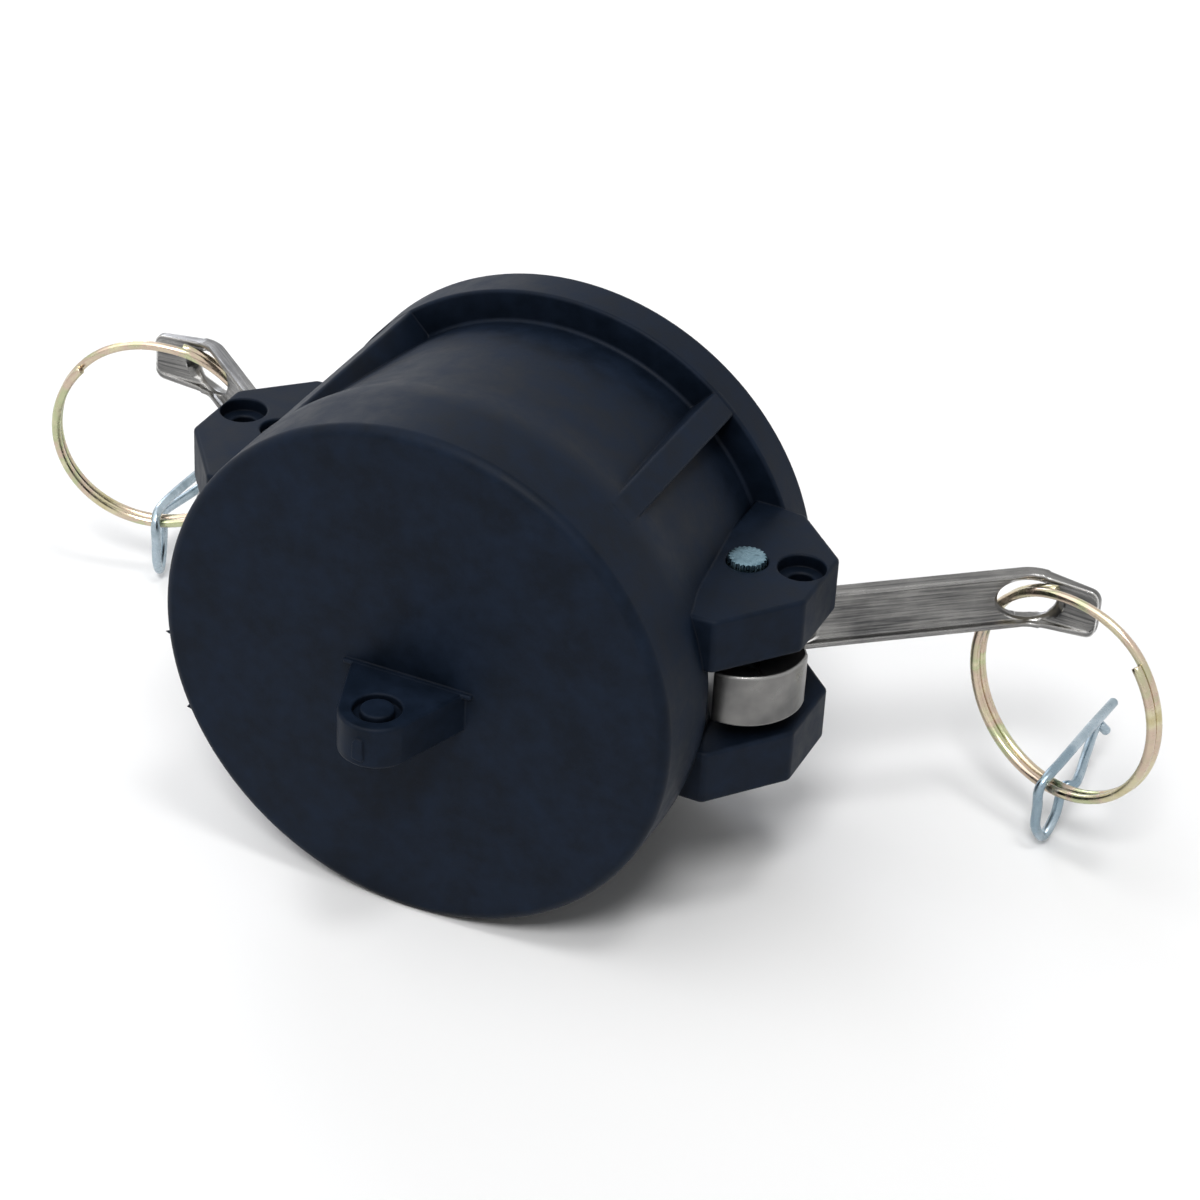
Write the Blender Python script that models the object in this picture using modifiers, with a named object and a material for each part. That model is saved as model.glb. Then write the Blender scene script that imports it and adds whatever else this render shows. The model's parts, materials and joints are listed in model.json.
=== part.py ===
"""Camlock dust cap, type DC, DN50: moulded cap, gasket, two cam arms on pins, pull rings and safety clips.

The cap lies on its side. +Y runs from the closed face to the mouth, +X to the right, +Z up, in metres.
Sizes below are measured from the middle of the closed face, on the cap's own axis.
"""

import math

import bmesh
import bpy
from mathutils import Matrix, Vector

MM = 0.001

# Cap body
BORE_RADIUS = 32.1 * MM
RIM_WALL = 7.9 * MM
DRUM_WALL = 7.9 * MM
CAP_LENGTH = 53.4 * MM
RIM_THICKNESS = 6.9 * MM
RIM_EDGE = 0.8 * MM
DRUM_LENGTH = 13.0 * MM
SHOULDER_LENGTH = 6.5 * MM
WAIST_WALL = 2.9 * MM
WAIST_TAPER = 3.2 * MM
FACE_ROUND = 1.6 * MM
END_WALL = 7.0 * MM
MOUTH_CHAMFER = 1.2 * MM
ROUND_SIDES = 64

# Gasket and its groove
GASKET_THICKNESS = 6.35 * MM
GASKET_WIDTH = 7.7 * MM
GROOVE_DEPTH = 1.3 * MM
SEAT_GAP = 0.3 * MM

# Ribs between drum and rim
RIB_WIDTH = 4.3 * MM
RIB_DROP = 0.1 * MM
RIB_ANGLE = 48.6

# Ears, slot and lock holes
EAR_HALF_HEIGHT = 15.4 * MM
SLOT_HALF_HEIGHT = 6.8 * MM
EAR_ROOT_SINK = 1.3 * MM
EAR_FRONT_ROOT = 13.3 * MM
EAR_FRONT_CORNER = 24.6 * MM
EAR_BACK_CORNER = 37.6 * MM
EAR_BACK_ROOT_PROUD = 0.4 * MM
LOCK_HOLE_RADIUS = 1.8 * MM
LOCK_SINK_RADIUS = 3.5 * MM
LOCK_SINK_DEPTH = 2.0 * MM
LOCK_OUTBOARD = 7.5 * MM
LOCK_WALL = 0.4 * MM
LOCK_BACK = 2.2 * MM
WINDOW_HALF_HEIGHT = 6.4 * MM

# Chain lug on the closed face
LUG_REACH = 9.2 * MM
LUG_END_RADIUS = 5.6 * MM
LUG_ROOT_HALF = 9.0 * MM
LUG_TOP = 1.3 * MM
LUG_THICKNESS = 6.6 * MM
LUG_RECESS_RADIUS = 3.5 * MM
LUG_RECESS_DEPTH = 1.3 * MM
LUG_LEDGE_HALF = 10.2 * MM
LUG_LEDGE = 0.7 * MM

# Cam pins
PIN_FROM_BORE = 5.8 * MM
PIN_FROM_MOUTH = 22.9 * MM
PIN_RADIUS = 3.0 * MM
PIN_TEETH = 22
PIN_TOOTH_DEPTH = 0.3 * MM
PIN_KNURL_LENGTH = 5.0 * MM
PIN_RELIEF = 0.1 * MM
PIN_RUNOUT = 0.5 * MM
PIN_PROUD_RIGHT = 0.8 * MM
PIN_PROUD_LEFT = -1.0 * MM
PIN_GAP = 0.25 * MM

# Cam arms, drawn as the right one lies open in the photograph
ARM_HALF_WIDTH = 4.7 * MM
HEAD_HALF_WIDTH = 4.2 * MM
HEEL_RADIUS = 5.3 * MM
LOBE_RADIUS = 13.2 * MM
NOSE_RADIUS = 9.2 * MM
NOSE_OUTBOARD = 2.0 * MM
HANDLE_ANGLE = 39.5
HANDLE_OFFSET = 5.4 * MM
ARM_DEPTH = 2.6 * MM
ARM_WEB = 1.3 * MM
ARM_FLANGE = 1.1 * MM
HANDLE_LENGTH = 48.0 * MM
TIP_ANGLE = -5.0
TIP_LENGTH = 10.9 * MM
TIP_END_HALF_WIDTH = 3.9 * MM
TIP_END_DEPTH = 1.35 * MM
RING_HOLE_FROM_BEND = 1.2 * MM
RING_HOLE_HALF_LENGTH = 4.3 * MM
RING_HOLE_HALF_HEIGHT = 3.1 * MM
RING_HOLE_DROP = 0.2 * MM
RING_FORWARD = 1.1 * MM
RING_INBOARD = 1.0 * MM
RING_RISE = 0.6 * MM
LOBE_GAP = 1.2 * MM

# Pull rings, two turns of wire
RING_MEAN_RADIUS = 16.6 * MM
RING_WIRE_RADIUS = 0.7 * MM
RING_TURN_PITCH = 1.48 * MM
RING_YAW = -20.0
RING_LEAN = 0.0
RING_SWING = 50.0
RING_JOG_START = 273.0
RING_JOG = 62.0
RING_STEPS_PER_TURN = 36

# Safety clips
CLIP_WIRE_RADIUS = 0.9 * MM
CLIP_EYE_DROP = 9.3 * MM
CLIP_EYE_HALF_GAP = 2.9 * MM
CLIP_TURN = 140.0
CLIP_LONG_END = Vector((1.5 * MM, 26.0 * MM, 0.4 * MM))
CLIP_SHORT_BEND = Vector((4.3 * MM, 3.9 * MM, -0.4 * MM))
CLIP_SHORT_END = Vector((3.0 * MM, 21.5 * MM, -2.8 * MM))
CLIP_HOOK = Vector((1.6 * MM, 1.2 * MM, -1.6 * MM))

PIN_Y = CAP_LENGTH - PIN_FROM_MOUTH
RIM_RADIUS = BORE_RADIUS + RIM_WALL
DRUM_RADIUS = BORE_RADIUS + DRUM_WALL
WAIST_RADIUS = BORE_RADIUS + WAIST_WALL
PIN_X = BORE_RADIUS + PIN_FROM_BORE
EAR_REACH = PIN_X + LOCK_OUTBOARD + LOCK_SINK_RADIUS + LOCK_WALL
HALF_SIDE_TURN = math.pi / ROUND_SIDES


def clear_scene():
    """Removes every object, mesh and curve that the file opened with."""
    for obj in list(bpy.data.objects):
        bpy.data.objects.remove(obj, do_unlink=True)


def collection(name, shown=True):
    """A new collection, linked to the scene."""
    made = bpy.data.collections.new(name)
    bpy.context.scene.collection.children.link(made)
    made.hide_render = not shown
    return made


def material(name, colour, roughness, metallic):
    """A Principled material in one linear colour."""
    made = bpy.data.materials.new(name)
    made.use_nodes = True
    shader = made.node_tree.nodes["Principled BSDF"]
    shader.inputs["Base Color"].default_value = (*colour, 1.0)
    shader.inputs["Roughness"].default_value = roughness
    shader.inputs["Metallic"].default_value = metallic
    return made


def add_object(name, mesh, home, parent=None, finish=None):
    """Puts a mesh in the scene, under a parent, with its material."""
    obj = bpy.data.objects.new(name, mesh)
    home.objects.link(obj)
    obj.parent = parent
    if finish is not None:
        mesh.materials.append(finish)
    return obj


def mesh_of(name, shape):
    """A mesh from a bmesh, with normals out and smooth round faces."""
    bmesh.ops.recalc_face_normals(shape, faces=shape.faces)
    mesh = bpy.data.meshes.new(name)
    shape.to_mesh(mesh)
    shape.free()
    mesh.shade_smooth()
    mesh.set_sharp_from_angle(angle=math.radians(32))
    return mesh


def arc(centre, radius, start, end, steps):
    """Points on an arc, angles in degrees."""
    turn = [math.radians(start + (end - start) * i / steps) for i in range(steps + 1)]
    return [(centre[0] + radius * math.cos(t), centre[1] + radius * math.sin(t)) for t in turn]


def ease(share):
    """A smooth step from 0 to 1."""
    return share * share * (3.0 - 2.0 * share)


def turned(name, profile, home, parent):
    """A profile of (radius, distance from the closed face) turned about the cap's axis."""
    mesh = bpy.data.meshes.new(name)
    points = [(radius, 0.0, along) for radius, along in profile]
    edges = [(i, i + 1) for i in range(len(points) - 1)]
    mesh.from_pydata(points, edges, [])
    obj = add_object(name, mesh, home, parent)
    obj.rotation_euler = (-math.pi / 2, HALF_SIDE_TURN, 0.0)
    screw = obj.modifiers.new("turn", "SCREW")
    screw.steps = ROUND_SIDES
    screw.render_steps = ROUND_SIDES
    screw.use_merge_vertices = True
    screw.merge_threshold = 0.00001
    screw.use_smooth_shade = True
    return obj


def plate(name, outline, low, high, home, parent):
    """A flat outline in X and Y, made solid between two heights."""
    curve = bpy.data.curves.new(name, "CURVE")
    curve.dimensions = "2D"
    curve.fill_mode = "BOTH"
    curve.extrude = (high - low) / 2
    spline = curve.splines.new("POLY")
    spline.points.add(len(outline) - 1)
    for point, (x, y) in zip(spline.points, outline):
        point.co = (x, y, 0.0, 1.0)
    spline.use_cyclic_u = True
    drawn = bpy.data.objects.new(name, curve)
    home.objects.link(drawn)
    bpy.context.view_layer.update()
    graph = bpy.context.evaluated_depsgraph_get()
    mesh = bpy.data.meshes.new_from_object(drawn.evaluated_get(graph))
    bpy.data.objects.remove(drawn, do_unlink=True)
    shape = bmesh.new()
    shape.from_mesh(mesh)
    bpy.data.meshes.remove(mesh)
    bmesh.ops.remove_doubles(shape, verts=shape.verts, dist=0.000001)
    bmesh.ops.translate(shape, verts=shape.verts, vec=(0.0, 0.0, (high + low) / 2))
    return add_object(name, mesh_of(name, shape), home, parent)


def rod(name, radius, low, high, centre, home, parent, sides=32):
    """An upright cylinder at (x, y), between two heights."""
    shape = bmesh.new()
    place = Matrix.Translation((centre[0], centre[1], (low + high) / 2))
    bmesh.ops.create_cone(shape, cap_ends=True, segments=sides, radius1=radius, radius2=radius,
                          depth=high - low, matrix=place)
    return add_object(name, mesh_of(name, shape), home, parent)


def combine(target, others, operation):
    """Booleans each of the others into the target, as live modifiers."""
    for other in others:
        other.display_type = "WIRE"
        other.hide_render = True
        step = target.modifiers.new(other.name, "BOOLEAN")
        step.operation = operation
        step.object = other
        step.solver = "EXACT"


def settle(obj):
    """Applies the modifiers, so the mesh is the finished solid."""
    bpy.context.view_layer.update()
    graph = bpy.context.evaluated_depsgraph_get()
    mesh = bpy.data.meshes.new_from_object(obj.evaluated_get(graph))
    obj.modifiers.clear()
    obj.data = mesh
    shape = bmesh.new()
    shape.from_mesh(mesh)
    bmesh.ops.remove_doubles(shape, verts=shape.verts, dist=0.0000001)
    shape.to_mesh(mesh)
    shape.free()
    mesh.shade_smooth()
    mesh.set_sharp_from_angle(angle=math.radians(32))
    return obj


def wire(name, path, radius, home, parent, sides_step=2):
    """A round wire along a list of points, with closed ends."""
    curve = bpy.data.curves.new(name, "CURVE")
    curve.dimensions = "3D"
    curve.bevel_depth = radius
    curve.bevel_resolution = sides_step
    curve.use_fill_caps = True
    spline = curve.splines.new("POLY")
    spline.points.add(len(path) - 1)
    for point, place in zip(spline.points, path):
        point.co = (*place, 1.0)
    obj = bpy.data.objects.new(name, curve)
    home.objects.link(obj)
    obj.parent = parent
    return obj


def smooth_path(points, step):
    """Points read from a Catmull-Rom curve through the given ones, about a step apart."""
    padded = [points[0] * 2 - points[1], *points, points[-1] * 2 - points[-2]]
    path = []
    for before, start, end, after in zip(padded, padded[1:], padded[2:], padded[3:]):
        count = max(1, round((end - start).length / step))
        for i in range(count):
            t = i / count
            path.append(0.5 * (2 * start + (end - before) * t
                               + (2 * before - 5 * start + 4 * end - after) * t ** 2
                               + (3 * start - before - 3 * end + after) * t ** 3))
    path.append(points[-1])
    return path


def body_profile():
    """The cap's outer side, from the mouth down to the closed face."""
    rim_front = CAP_LENGTH - RIM_THICKNESS
    waist_front = WAIST_RADIUS + WAIST_TAPER
    profile = [(0.0, CAP_LENGTH), (RIM_RADIUS - RIM_EDGE, CAP_LENGTH), (RIM_RADIUS, CAP_LENGTH - RIM_EDGE),
               (RIM_RADIUS, rim_front), (WAIST_RADIUS + RIM_EDGE, rim_front), (WAIST_RADIUS, rim_front - RIM_EDGE)]
    for i in range(7):
        share = i / 6
        profile.append((waist_front + (DRUM_RADIUS - waist_front) * ease(share),
                        DRUM_LENGTH + SHOULDER_LENGTH * (1.0 - share)))
    profile += [(r, a) for r, a in arc((DRUM_RADIUS - FACE_ROUND, FACE_ROUND), FACE_ROUND, 0, -90, 5)]
    return profile + [(0.0, 0.0)]


def bore_profile():
    """The space inside the cap: bore, gasket groove and the chamfer at the mouth."""
    over = 2.0 * MM
    groove_end = END_WALL + GASKET_THICKNESS + 2 * SEAT_GAP
    chamfered = BORE_RADIUS + MOUTH_CHAMFER
    return [(0.0, CAP_LENGTH + over), (chamfered, CAP_LENGTH + over), (chamfered, CAP_LENGTH),
            (BORE_RADIUS, CAP_LENGTH - MOUTH_CHAMFER), (BORE_RADIUS, groove_end),
            (BORE_RADIUS + GROOVE_DEPTH, groove_end), (BORE_RADIUS + GROOVE_DEPTH, END_WALL), (0.0, END_WALL)]


def ear_outline(side):
    """One ear from above, its root buried in the cap's wall."""
    root = BORE_RADIUS / 2
    drum_edge = DRUM_RADIUS - EAR_ROOT_SINK
    rim_front = CAP_LENGTH - RIM_THICKNESS
    points = [(root, EAR_FRONT_ROOT), (drum_edge, EAR_FRONT_ROOT), (EAR_REACH, EAR_FRONT_CORNER),
              (EAR_REACH, EAR_BACK_CORNER), (RIM_RADIUS + EAR_BACK_ROOT_PROUD, rim_front), (root, rim_front + RIM_EDGE)]
    return [(side * x, y) for x, y in points]


def lug_outline():
    """The chain lug from above: a rounded end that widens to its root."""
    centre = (0.0, -LUG_REACH)
    rise = math.degrees(math.atan2(LUG_ROOT_HALF - LUG_END_RADIUS, LUG_REACH))
    sunk = FACE_ROUND
    spread = LUG_ROOT_HALF + sunk * math.tan(math.radians(rise))
    return [(spread, sunk), (-spread, sunk)] + arc(centre, LUG_END_RADIUS, 180 + rise, 360 - rise, 14)


def make_body(home, cutters, axis, finish):
    """The moulded cap: drum, waist, rim, ribs, ears and lug in one piece, bored and slotted."""
    body = turned("cap_body", body_profile(), home, axis)
    body.data.materials.append(finish)
    added = []
    for side in (1, -1):
        label = "right" if side > 0 else "left"
        for low, high, level in ((SLOT_HALF_HEIGHT, EAR_HALF_HEIGHT, "upper"),
                                 (-EAR_HALF_HEIGHT, -SLOT_HALF_HEIGHT, "lower")):
            added.append(plate(f"ear_{label}_{level}", ear_outline(side), low, high, cutters, axis))
    rim_front = CAP_LENGTH - RIM_THICKNESS
    rib_top = RIM_RADIUS - RIB_DROP
    rib_foot = WAIST_RADIUS - WAIST_WALL / 2
    rib_length = rim_front + RIM_EDGE - DRUM_LENGTH
    for number, angle in enumerate((RIB_ANGLE, 180 - RIB_ANGLE, 180 + RIB_ANGLE, -RIB_ANGLE)):
        shape = bmesh.new()
        bmesh.ops.create_cube(shape, size=1.0)
        bmesh.ops.scale(shape, verts=shape.verts, vec=(rib_top - rib_foot, rib_length, RIB_WIDTH))
        middle = ((rib_top + rib_foot) / 2, DRUM_LENGTH + rib_length / 2, 0.0)
        bmesh.ops.translate(shape, verts=shape.verts, vec=middle)
        spin = Matrix.Rotation(math.radians(-angle), 3, "Y")
        bmesh.ops.rotate(shape, verts=shape.verts, cent=(0.0, 0.0, 0.0), matrix=spin)
        added.append(add_object(f"rib_{number}", mesh_of("rib", shape), cutters, axis))
    added.append(plate("lug", lug_outline(), LUG_TOP - LUG_THICKNESS, LUG_TOP, cutters, axis))
    ledge = [(-LUG_LEDGE_HALF, FACE_ROUND), (-LUG_LEDGE_HALF, -LUG_LEDGE), (LUG_LEDGE_HALF, -LUG_LEDGE),
             (LUG_LEDGE_HALF, FACE_ROUND)]
    added.append(plate("lug_ledge", ledge, LUG_TOP - LUG_LEDGE, LUG_TOP + 0.02 * MM, cutters, axis))
    combine(body, added, "UNION")

    cut = [turned("bore", bore_profile(), cutters, axis)]
    window = LOBE_RADIUS + LOBE_GAP
    for side in (1, -1):
        pin = (side * PIN_X, PIN_Y)
        lock = (side * (PIN_X + LOCK_OUTBOARD), PIN_Y + LOCK_BACK)
        label = "right" if side > 0 else "left"
        past = EAR_HALF_HEIGHT + 1.0 * MM
        sink = EAR_HALF_HEIGHT - LOCK_SINK_DEPTH
        cut.append(rod(f"window_{label}", window, -WINDOW_HALF_HEIGHT, WINDOW_HALF_HEIGHT, pin, cutters, axis, 48))
        cut.append(rod(f"pin_hole_{label}", PIN_RADIUS + PIN_TOOTH_DEPTH + PIN_GAP, -past, past, pin, cutters, axis))
        cut.append(rod(f"lock_hole_{label}", LOCK_HOLE_RADIUS, -past, past, lock, cutters, axis, 24))
        cut.append(rod(f"lock_sink_top_{label}", LOCK_SINK_RADIUS, sink, past, lock, cutters, axis))
        cut.append(rod(f"lock_sink_under_{label}", LOCK_SINK_RADIUS, -past, -sink, lock, cutters, axis))
    hole = (0.0, -LUG_REACH)
    floor_top = LUG_TOP - LUG_RECESS_DEPTH
    floor_under = LUG_TOP - LUG_THICKNESS + LUG_RECESS_DEPTH
    cut.append(rod("lug_recess_top", LUG_RECESS_RADIUS, floor_top, LUG_TOP + MM, hole, cutters, axis))
    cut.append(rod("lug_recess_under", LUG_RECESS_RADIUS, floor_under - 2.5 * MM, floor_under, hole, cutters, axis))
    combine(body, cut, "DIFFERENCE")
    return settle(body)


def make_gasket(home, axis, finish):
    """The flat sealing ring, seated in its groove at the bottom of the bore."""
    outer = BORE_RADIUS + GROOVE_DEPTH - SEAT_GAP
    inner = outer - GASKET_WIDTH
    near = END_WALL + SEAT_GAP
    far = near + GASKET_THICKNESS
    ease_edge = 0.4 * MM
    profile = [(inner, far), (outer - ease_edge, far), (outer, far - ease_edge),
               (outer, near + ease_edge), (outer - ease_edge, near), (inner, near),
               (inner, far)]
    gasket = turned("gasket", profile, home, axis)
    gasket.data.materials.append(finish)
    return settle(gasket)


def make_pin(name, side, proud, home, axis, finish):
    """A pin that is plain through the arm and knurled at both ends, pressed in from the top."""
    shape = bmesh.new()
    top = EAR_HALF_HEIGHT + proud
    foot = -EAR_HALF_HEIGHT + 1.0 * MM
    sides = 2 * PIN_TEETH
    rings = []
    plain = PIN_RADIUS - PIN_RELIEF
    levels = ((foot, PIN_RADIUS, PIN_TOOTH_DEPTH), (foot + PIN_KNURL_LENGTH, PIN_RADIUS, PIN_TOOTH_DEPTH),
              (foot + PIN_KNURL_LENGTH + PIN_RUNOUT, plain, 0.0), (top - PIN_KNURL_LENGTH - PIN_RUNOUT, plain, 0.0),
              (top - PIN_KNURL_LENGTH, PIN_RADIUS, PIN_TOOTH_DEPTH), (top, PIN_RADIUS, PIN_TOOTH_DEPTH))
    for height, base, tooth in levels:
        ring = []
        for i in range(sides):
            turn = math.tau * i / sides
            radius = base + tooth * (i % 2)
            ring.append(shape.verts.new((radius * math.cos(turn), radius * math.sin(turn), height)))
        rings.append(ring)
    shape.faces.new(list(reversed(rings[0])))
    shape.faces.new(rings[-1])
    for lower, upper in zip(rings, rings[1:]):
        for i in range(sides):
            j = (i + 1) % sides
            shape.faces.new((lower[i], lower[j], upper[j], upper[i]))
    pin = add_object(name, mesh_of(name, shape), home, axis, finish)
    pin.location = (side * PIN_X, PIN_Y, 0.0)
    return pin


def handle_point(along, offset):
    """A point of the open right arm: along the handle from the pin, and off it towards the back."""
    turn = math.radians(HANDLE_ANGLE)
    return (along * math.cos(turn) - offset * math.sin(turn), along * math.sin(turn) + offset * math.cos(turn))


def tip_point(along, offset):
    """A point of the bent tip: along it from the bend, and forward of its back face."""
    turn = math.radians(TIP_ANGLE)
    bend = handle_point(HANDLE_LENGTH, HANDLE_OFFSET + ARM_DEPTH)
    return (bend[0] + along * math.cos(turn) + offset * math.sin(turn),
            bend[1] + along * math.sin(turn) - offset * math.cos(turn))


def mitred(depth_handle, depth_tip):
    """The point where a line in the handle and a line in the tip cross, each so deep under the back face."""
    a = Vector(handle_point(0.0, HANDLE_OFFSET + ARM_DEPTH - depth_handle))
    b = Vector(tip_point(0.0, depth_tip))
    u = Vector((math.cos(math.radians(HANDLE_ANGLE)), math.sin(math.radians(HANDLE_ANGLE))))
    v = Vector((math.cos(math.radians(TIP_ANGLE)), math.sin(math.radians(TIP_ANGLE))))
    across = u.x * v.y - u.y * v.x
    gap = b - a
    t = (gap.x * v.y - gap.y * v.x) / across
    return tuple(a + u * t)


def head_outline():
    """The cam head: round heel and a nose that reaches the lobe's radius."""
    drop = math.sqrt((LOBE_RADIUS - NOSE_RADIUS) ** 2 - NOSE_OUTBOARD ** 2)
    lobe = arc((NOSE_OUTBOARD, -drop), NOSE_RADIUS, -95, 10, 12)
    handle_root = handle_point(9.0 * MM, HANDLE_OFFSET)
    back_root = [handle_point(12.0 * MM, HANDLE_OFFSET + ARM_DEPTH), handle_point(4.4 * MM, HANDLE_OFFSET + ARM_DEPTH)]
    heel = arc((0.0, 0.0), HEEL_RADIUS, 150, 228, 8)
    return lobe + [handle_root, handle_point(12.0 * MM, HANDLE_OFFSET)] + back_root + heel


def handle_outline():
    """The handle and the bent tip from above, with the flanges' full depth."""
    back = HANDLE_OFFSET + ARM_DEPTH
    points = [handle_point(4.4 * MM, HANDLE_OFFSET), mitred(ARM_DEPTH, ARM_DEPTH),
              tip_point(TIP_LENGTH, TIP_END_DEPTH), tip_point(TIP_LENGTH, 0.0)]
    points += [tip_point(2.4 * MM, 0.0), tip_point(0.6 * MM, -0.15 * MM), handle_point(HANDLE_LENGTH - 1.6 * MM, back)]
    return points + [handle_point(4.4 * MM, back)]


def pocket_outline():
    """The hollow between the flanges, open at the tip."""
    front = HANDLE_OFFSET - 2.0 * MM
    web_front = HANDLE_OFFSET + ARM_DEPTH - ARM_WEB
    start = 13.0 * MM
    deep = ARM_DEPTH + 4.0 * MM
    return [handle_point(start, front), mitred(deep, deep), tip_point(TIP_LENGTH + MM, deep),
            tip_point(TIP_LENGTH + MM, ARM_WEB), mitred(ARM_WEB, ARM_WEB),
            handle_point(start + ARM_WEB, web_front)]


def make_arm(name, side, home, cutters, axis, finish):
    """A cam arm of channel section, with its origin on the pin's axis."""
    label = "right" if side > 0 else "left"
    arm = plate(name, head_outline(), -HEAD_HALF_WIDTH, HEAD_HALF_WIDTH, home, axis)
    arm.data.materials.append(finish)
    handle = plate(f"handle_{label}", handle_outline(), -ARM_HALF_WIDTH, ARM_HALF_WIDTH, cutters, axis)
    combine(arm, [handle], "UNION")

    inner = ARM_HALF_WIDTH - ARM_FLANGE
    pocket = plate(f"pocket_{label}", pocket_outline(), -inner, inner, cutters, axis)
    shape = bmesh.new()
    bmesh.ops.create_cone(shape, cap_ends=True, segments=32, radius1=1.0, radius2=1.0, depth=14.0 * MM)
    bmesh.ops.scale(shape, verts=shape.verts, vec=(RING_HOLE_HALF_LENGTH, RING_HOLE_HALF_HEIGHT, 1.0))
    lean = math.radians((HANDLE_ANGLE * 2 + TIP_ANGLE) / 3)
    turn = Matrix.Rotation(lean, 4, "Z") @ Matrix.Rotation(math.pi / 2, 4, "X")
    bmesh.ops.transform(shape, verts=shape.verts, matrix=turn)
    at = hole_centre()
    bmesh.ops.translate(shape, verts=shape.verts, vec=at)
    ring_hole = add_object(f"ring_hole_{label}", mesh_of("ring_hole", shape), cutters, axis)
    bore = rod(f"arm_bore_{label}", PIN_RADIUS + PIN_GAP, -2 * ARM_HALF_WIDTH, 2 * ARM_HALF_WIDTH, (0.0, 0.0), cutters, axis)
    cut = [pocket, ring_hole, bore]
    for level in (1, -1):
        shape = bmesh.new()
        bmesh.ops.create_cube(shape, size=1.0)
        bmesh.ops.scale(shape, verts=shape.verts, vec=(40.0 * MM, 12.0 * MM, 10.0 * MM))
        bmesh.ops.translate(shape, verts=shape.verts, vec=(20.0 * MM, 0.0, 5.0 * MM))
        fall = math.atan2(ARM_HALF_WIDTH - TIP_END_HALF_WIDTH, TIP_LENGTH)
        bmesh.ops.rotate(shape, verts=shape.verts, cent=(0, 0, 0), matrix=Matrix.Rotation(fall, 3, "Y"))
        bmesh.ops.translate(shape, verts=shape.verts, vec=(0.0, 0.0, ARM_HALF_WIDTH))
        bmesh.ops.rotate(shape, verts=shape.verts, cent=(0, 0, 0), matrix=Matrix.Rotation(math.radians(TIP_ANGLE), 3, "Z"))
        bend = tip_point(0.0, ARM_DEPTH / 2)
        bmesh.ops.translate(shape, verts=shape.verts, vec=(bend[0], bend[1], 0.0))
        if level < 0:
            bmesh.ops.scale(shape, verts=shape.verts, vec=(1.0, 1.0, -1.0))
        cut.append(add_object(f"tip_taper_{label}_{level}", mesh_of("taper", shape), cutters, axis))
    combine(arm, cut, "DIFFERENCE")
    settle(arm)
    if side < 0:
        shape = bmesh.new()
        shape.from_mesh(arm.data)
        bmesh.ops.scale(shape, verts=shape.verts, vec=(-1.0, 1.0, 1.0))
        bmesh.ops.reverse_faces(shape, faces=shape.faces)
        shape.to_mesh(arm.data)
        shape.free()
        arm.data.set_sharp_from_angle(angle=math.radians(32))
    arm.location = (side * PIN_X, PIN_Y, 0.0)
    return arm


def hole_centre():
    """The middle of the ring hole, from the pin, on the open right arm."""
    x, y = handle_point(HANDLE_LENGTH - RING_HOLE_FROM_BEND, HANDLE_OFFSET + ARM_DEPTH - ARM_WEB / 2)
    return Vector((x, y, -RING_HOLE_DROP))


def ring_axes():
    """The ring's own axes on the right side: across its plane, down to its middle, and along the wire."""
    yaw = math.radians(RING_YAW)
    lean = math.radians(RING_LEAN)
    normal = Vector((math.sin(yaw) * math.cos(lean), -math.cos(yaw) * math.cos(lean), math.sin(lean)))
    level = Vector((math.cos(yaw), math.sin(yaw), 0.0))
    upright = normal.cross(level)
    if upright.z < 0:
        upright.negate()
    swing = math.radians(RING_SWING)
    inward = level * math.cos(swing) - upright * math.sin(swing)
    return normal, inward, normal.cross(inward)


def ring_point(turn, offset, radius=RING_MEAN_RADIUS):
    """A point round the ring from the hole, in degrees, from the hole's middle."""
    normal, inward, along = ring_axes()
    angle = math.radians(turn)
    return inward * (RING_MEAN_RADIUS - radius * math.cos(angle)) - along * radius * math.sin(angle) + normal * offset


def make_ring(name, side, home, parent, finish):
    """A split ring of two turns, with its origin in the arm's hole."""
    total = 720.0 - RING_JOG
    count = round(RING_STEPS_PER_TURN * total / 360.0)
    path = []
    for i in range(count + 1):
        turned_by = RING_JOG + total * i / count
        share = min(max((turned_by - 360.0) / RING_JOG, 0.0), 1.0)
        offset = RING_TURN_PITCH * (ease(share) - 0.5)
        point = ring_point(RING_JOG_START + turned_by, offset)
        path.append(Vector((side * point.x, point.y, point.z)))
    ring = wire(name, path, RING_WIRE_RADIUS, home, parent)
    ring.data.materials.append(finish)
    ring.location = ring_home(side)
    return ring


def ring_home(side):
    """Where the ring passes through the arm's hole, on the cap's axes."""
    hole = hole_centre()
    return Vector((side * (PIN_X + hole.x - RING_INBOARD), PIN_Y + hole.y - RING_FORWARD, hole.z + RING_RISE))


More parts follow.
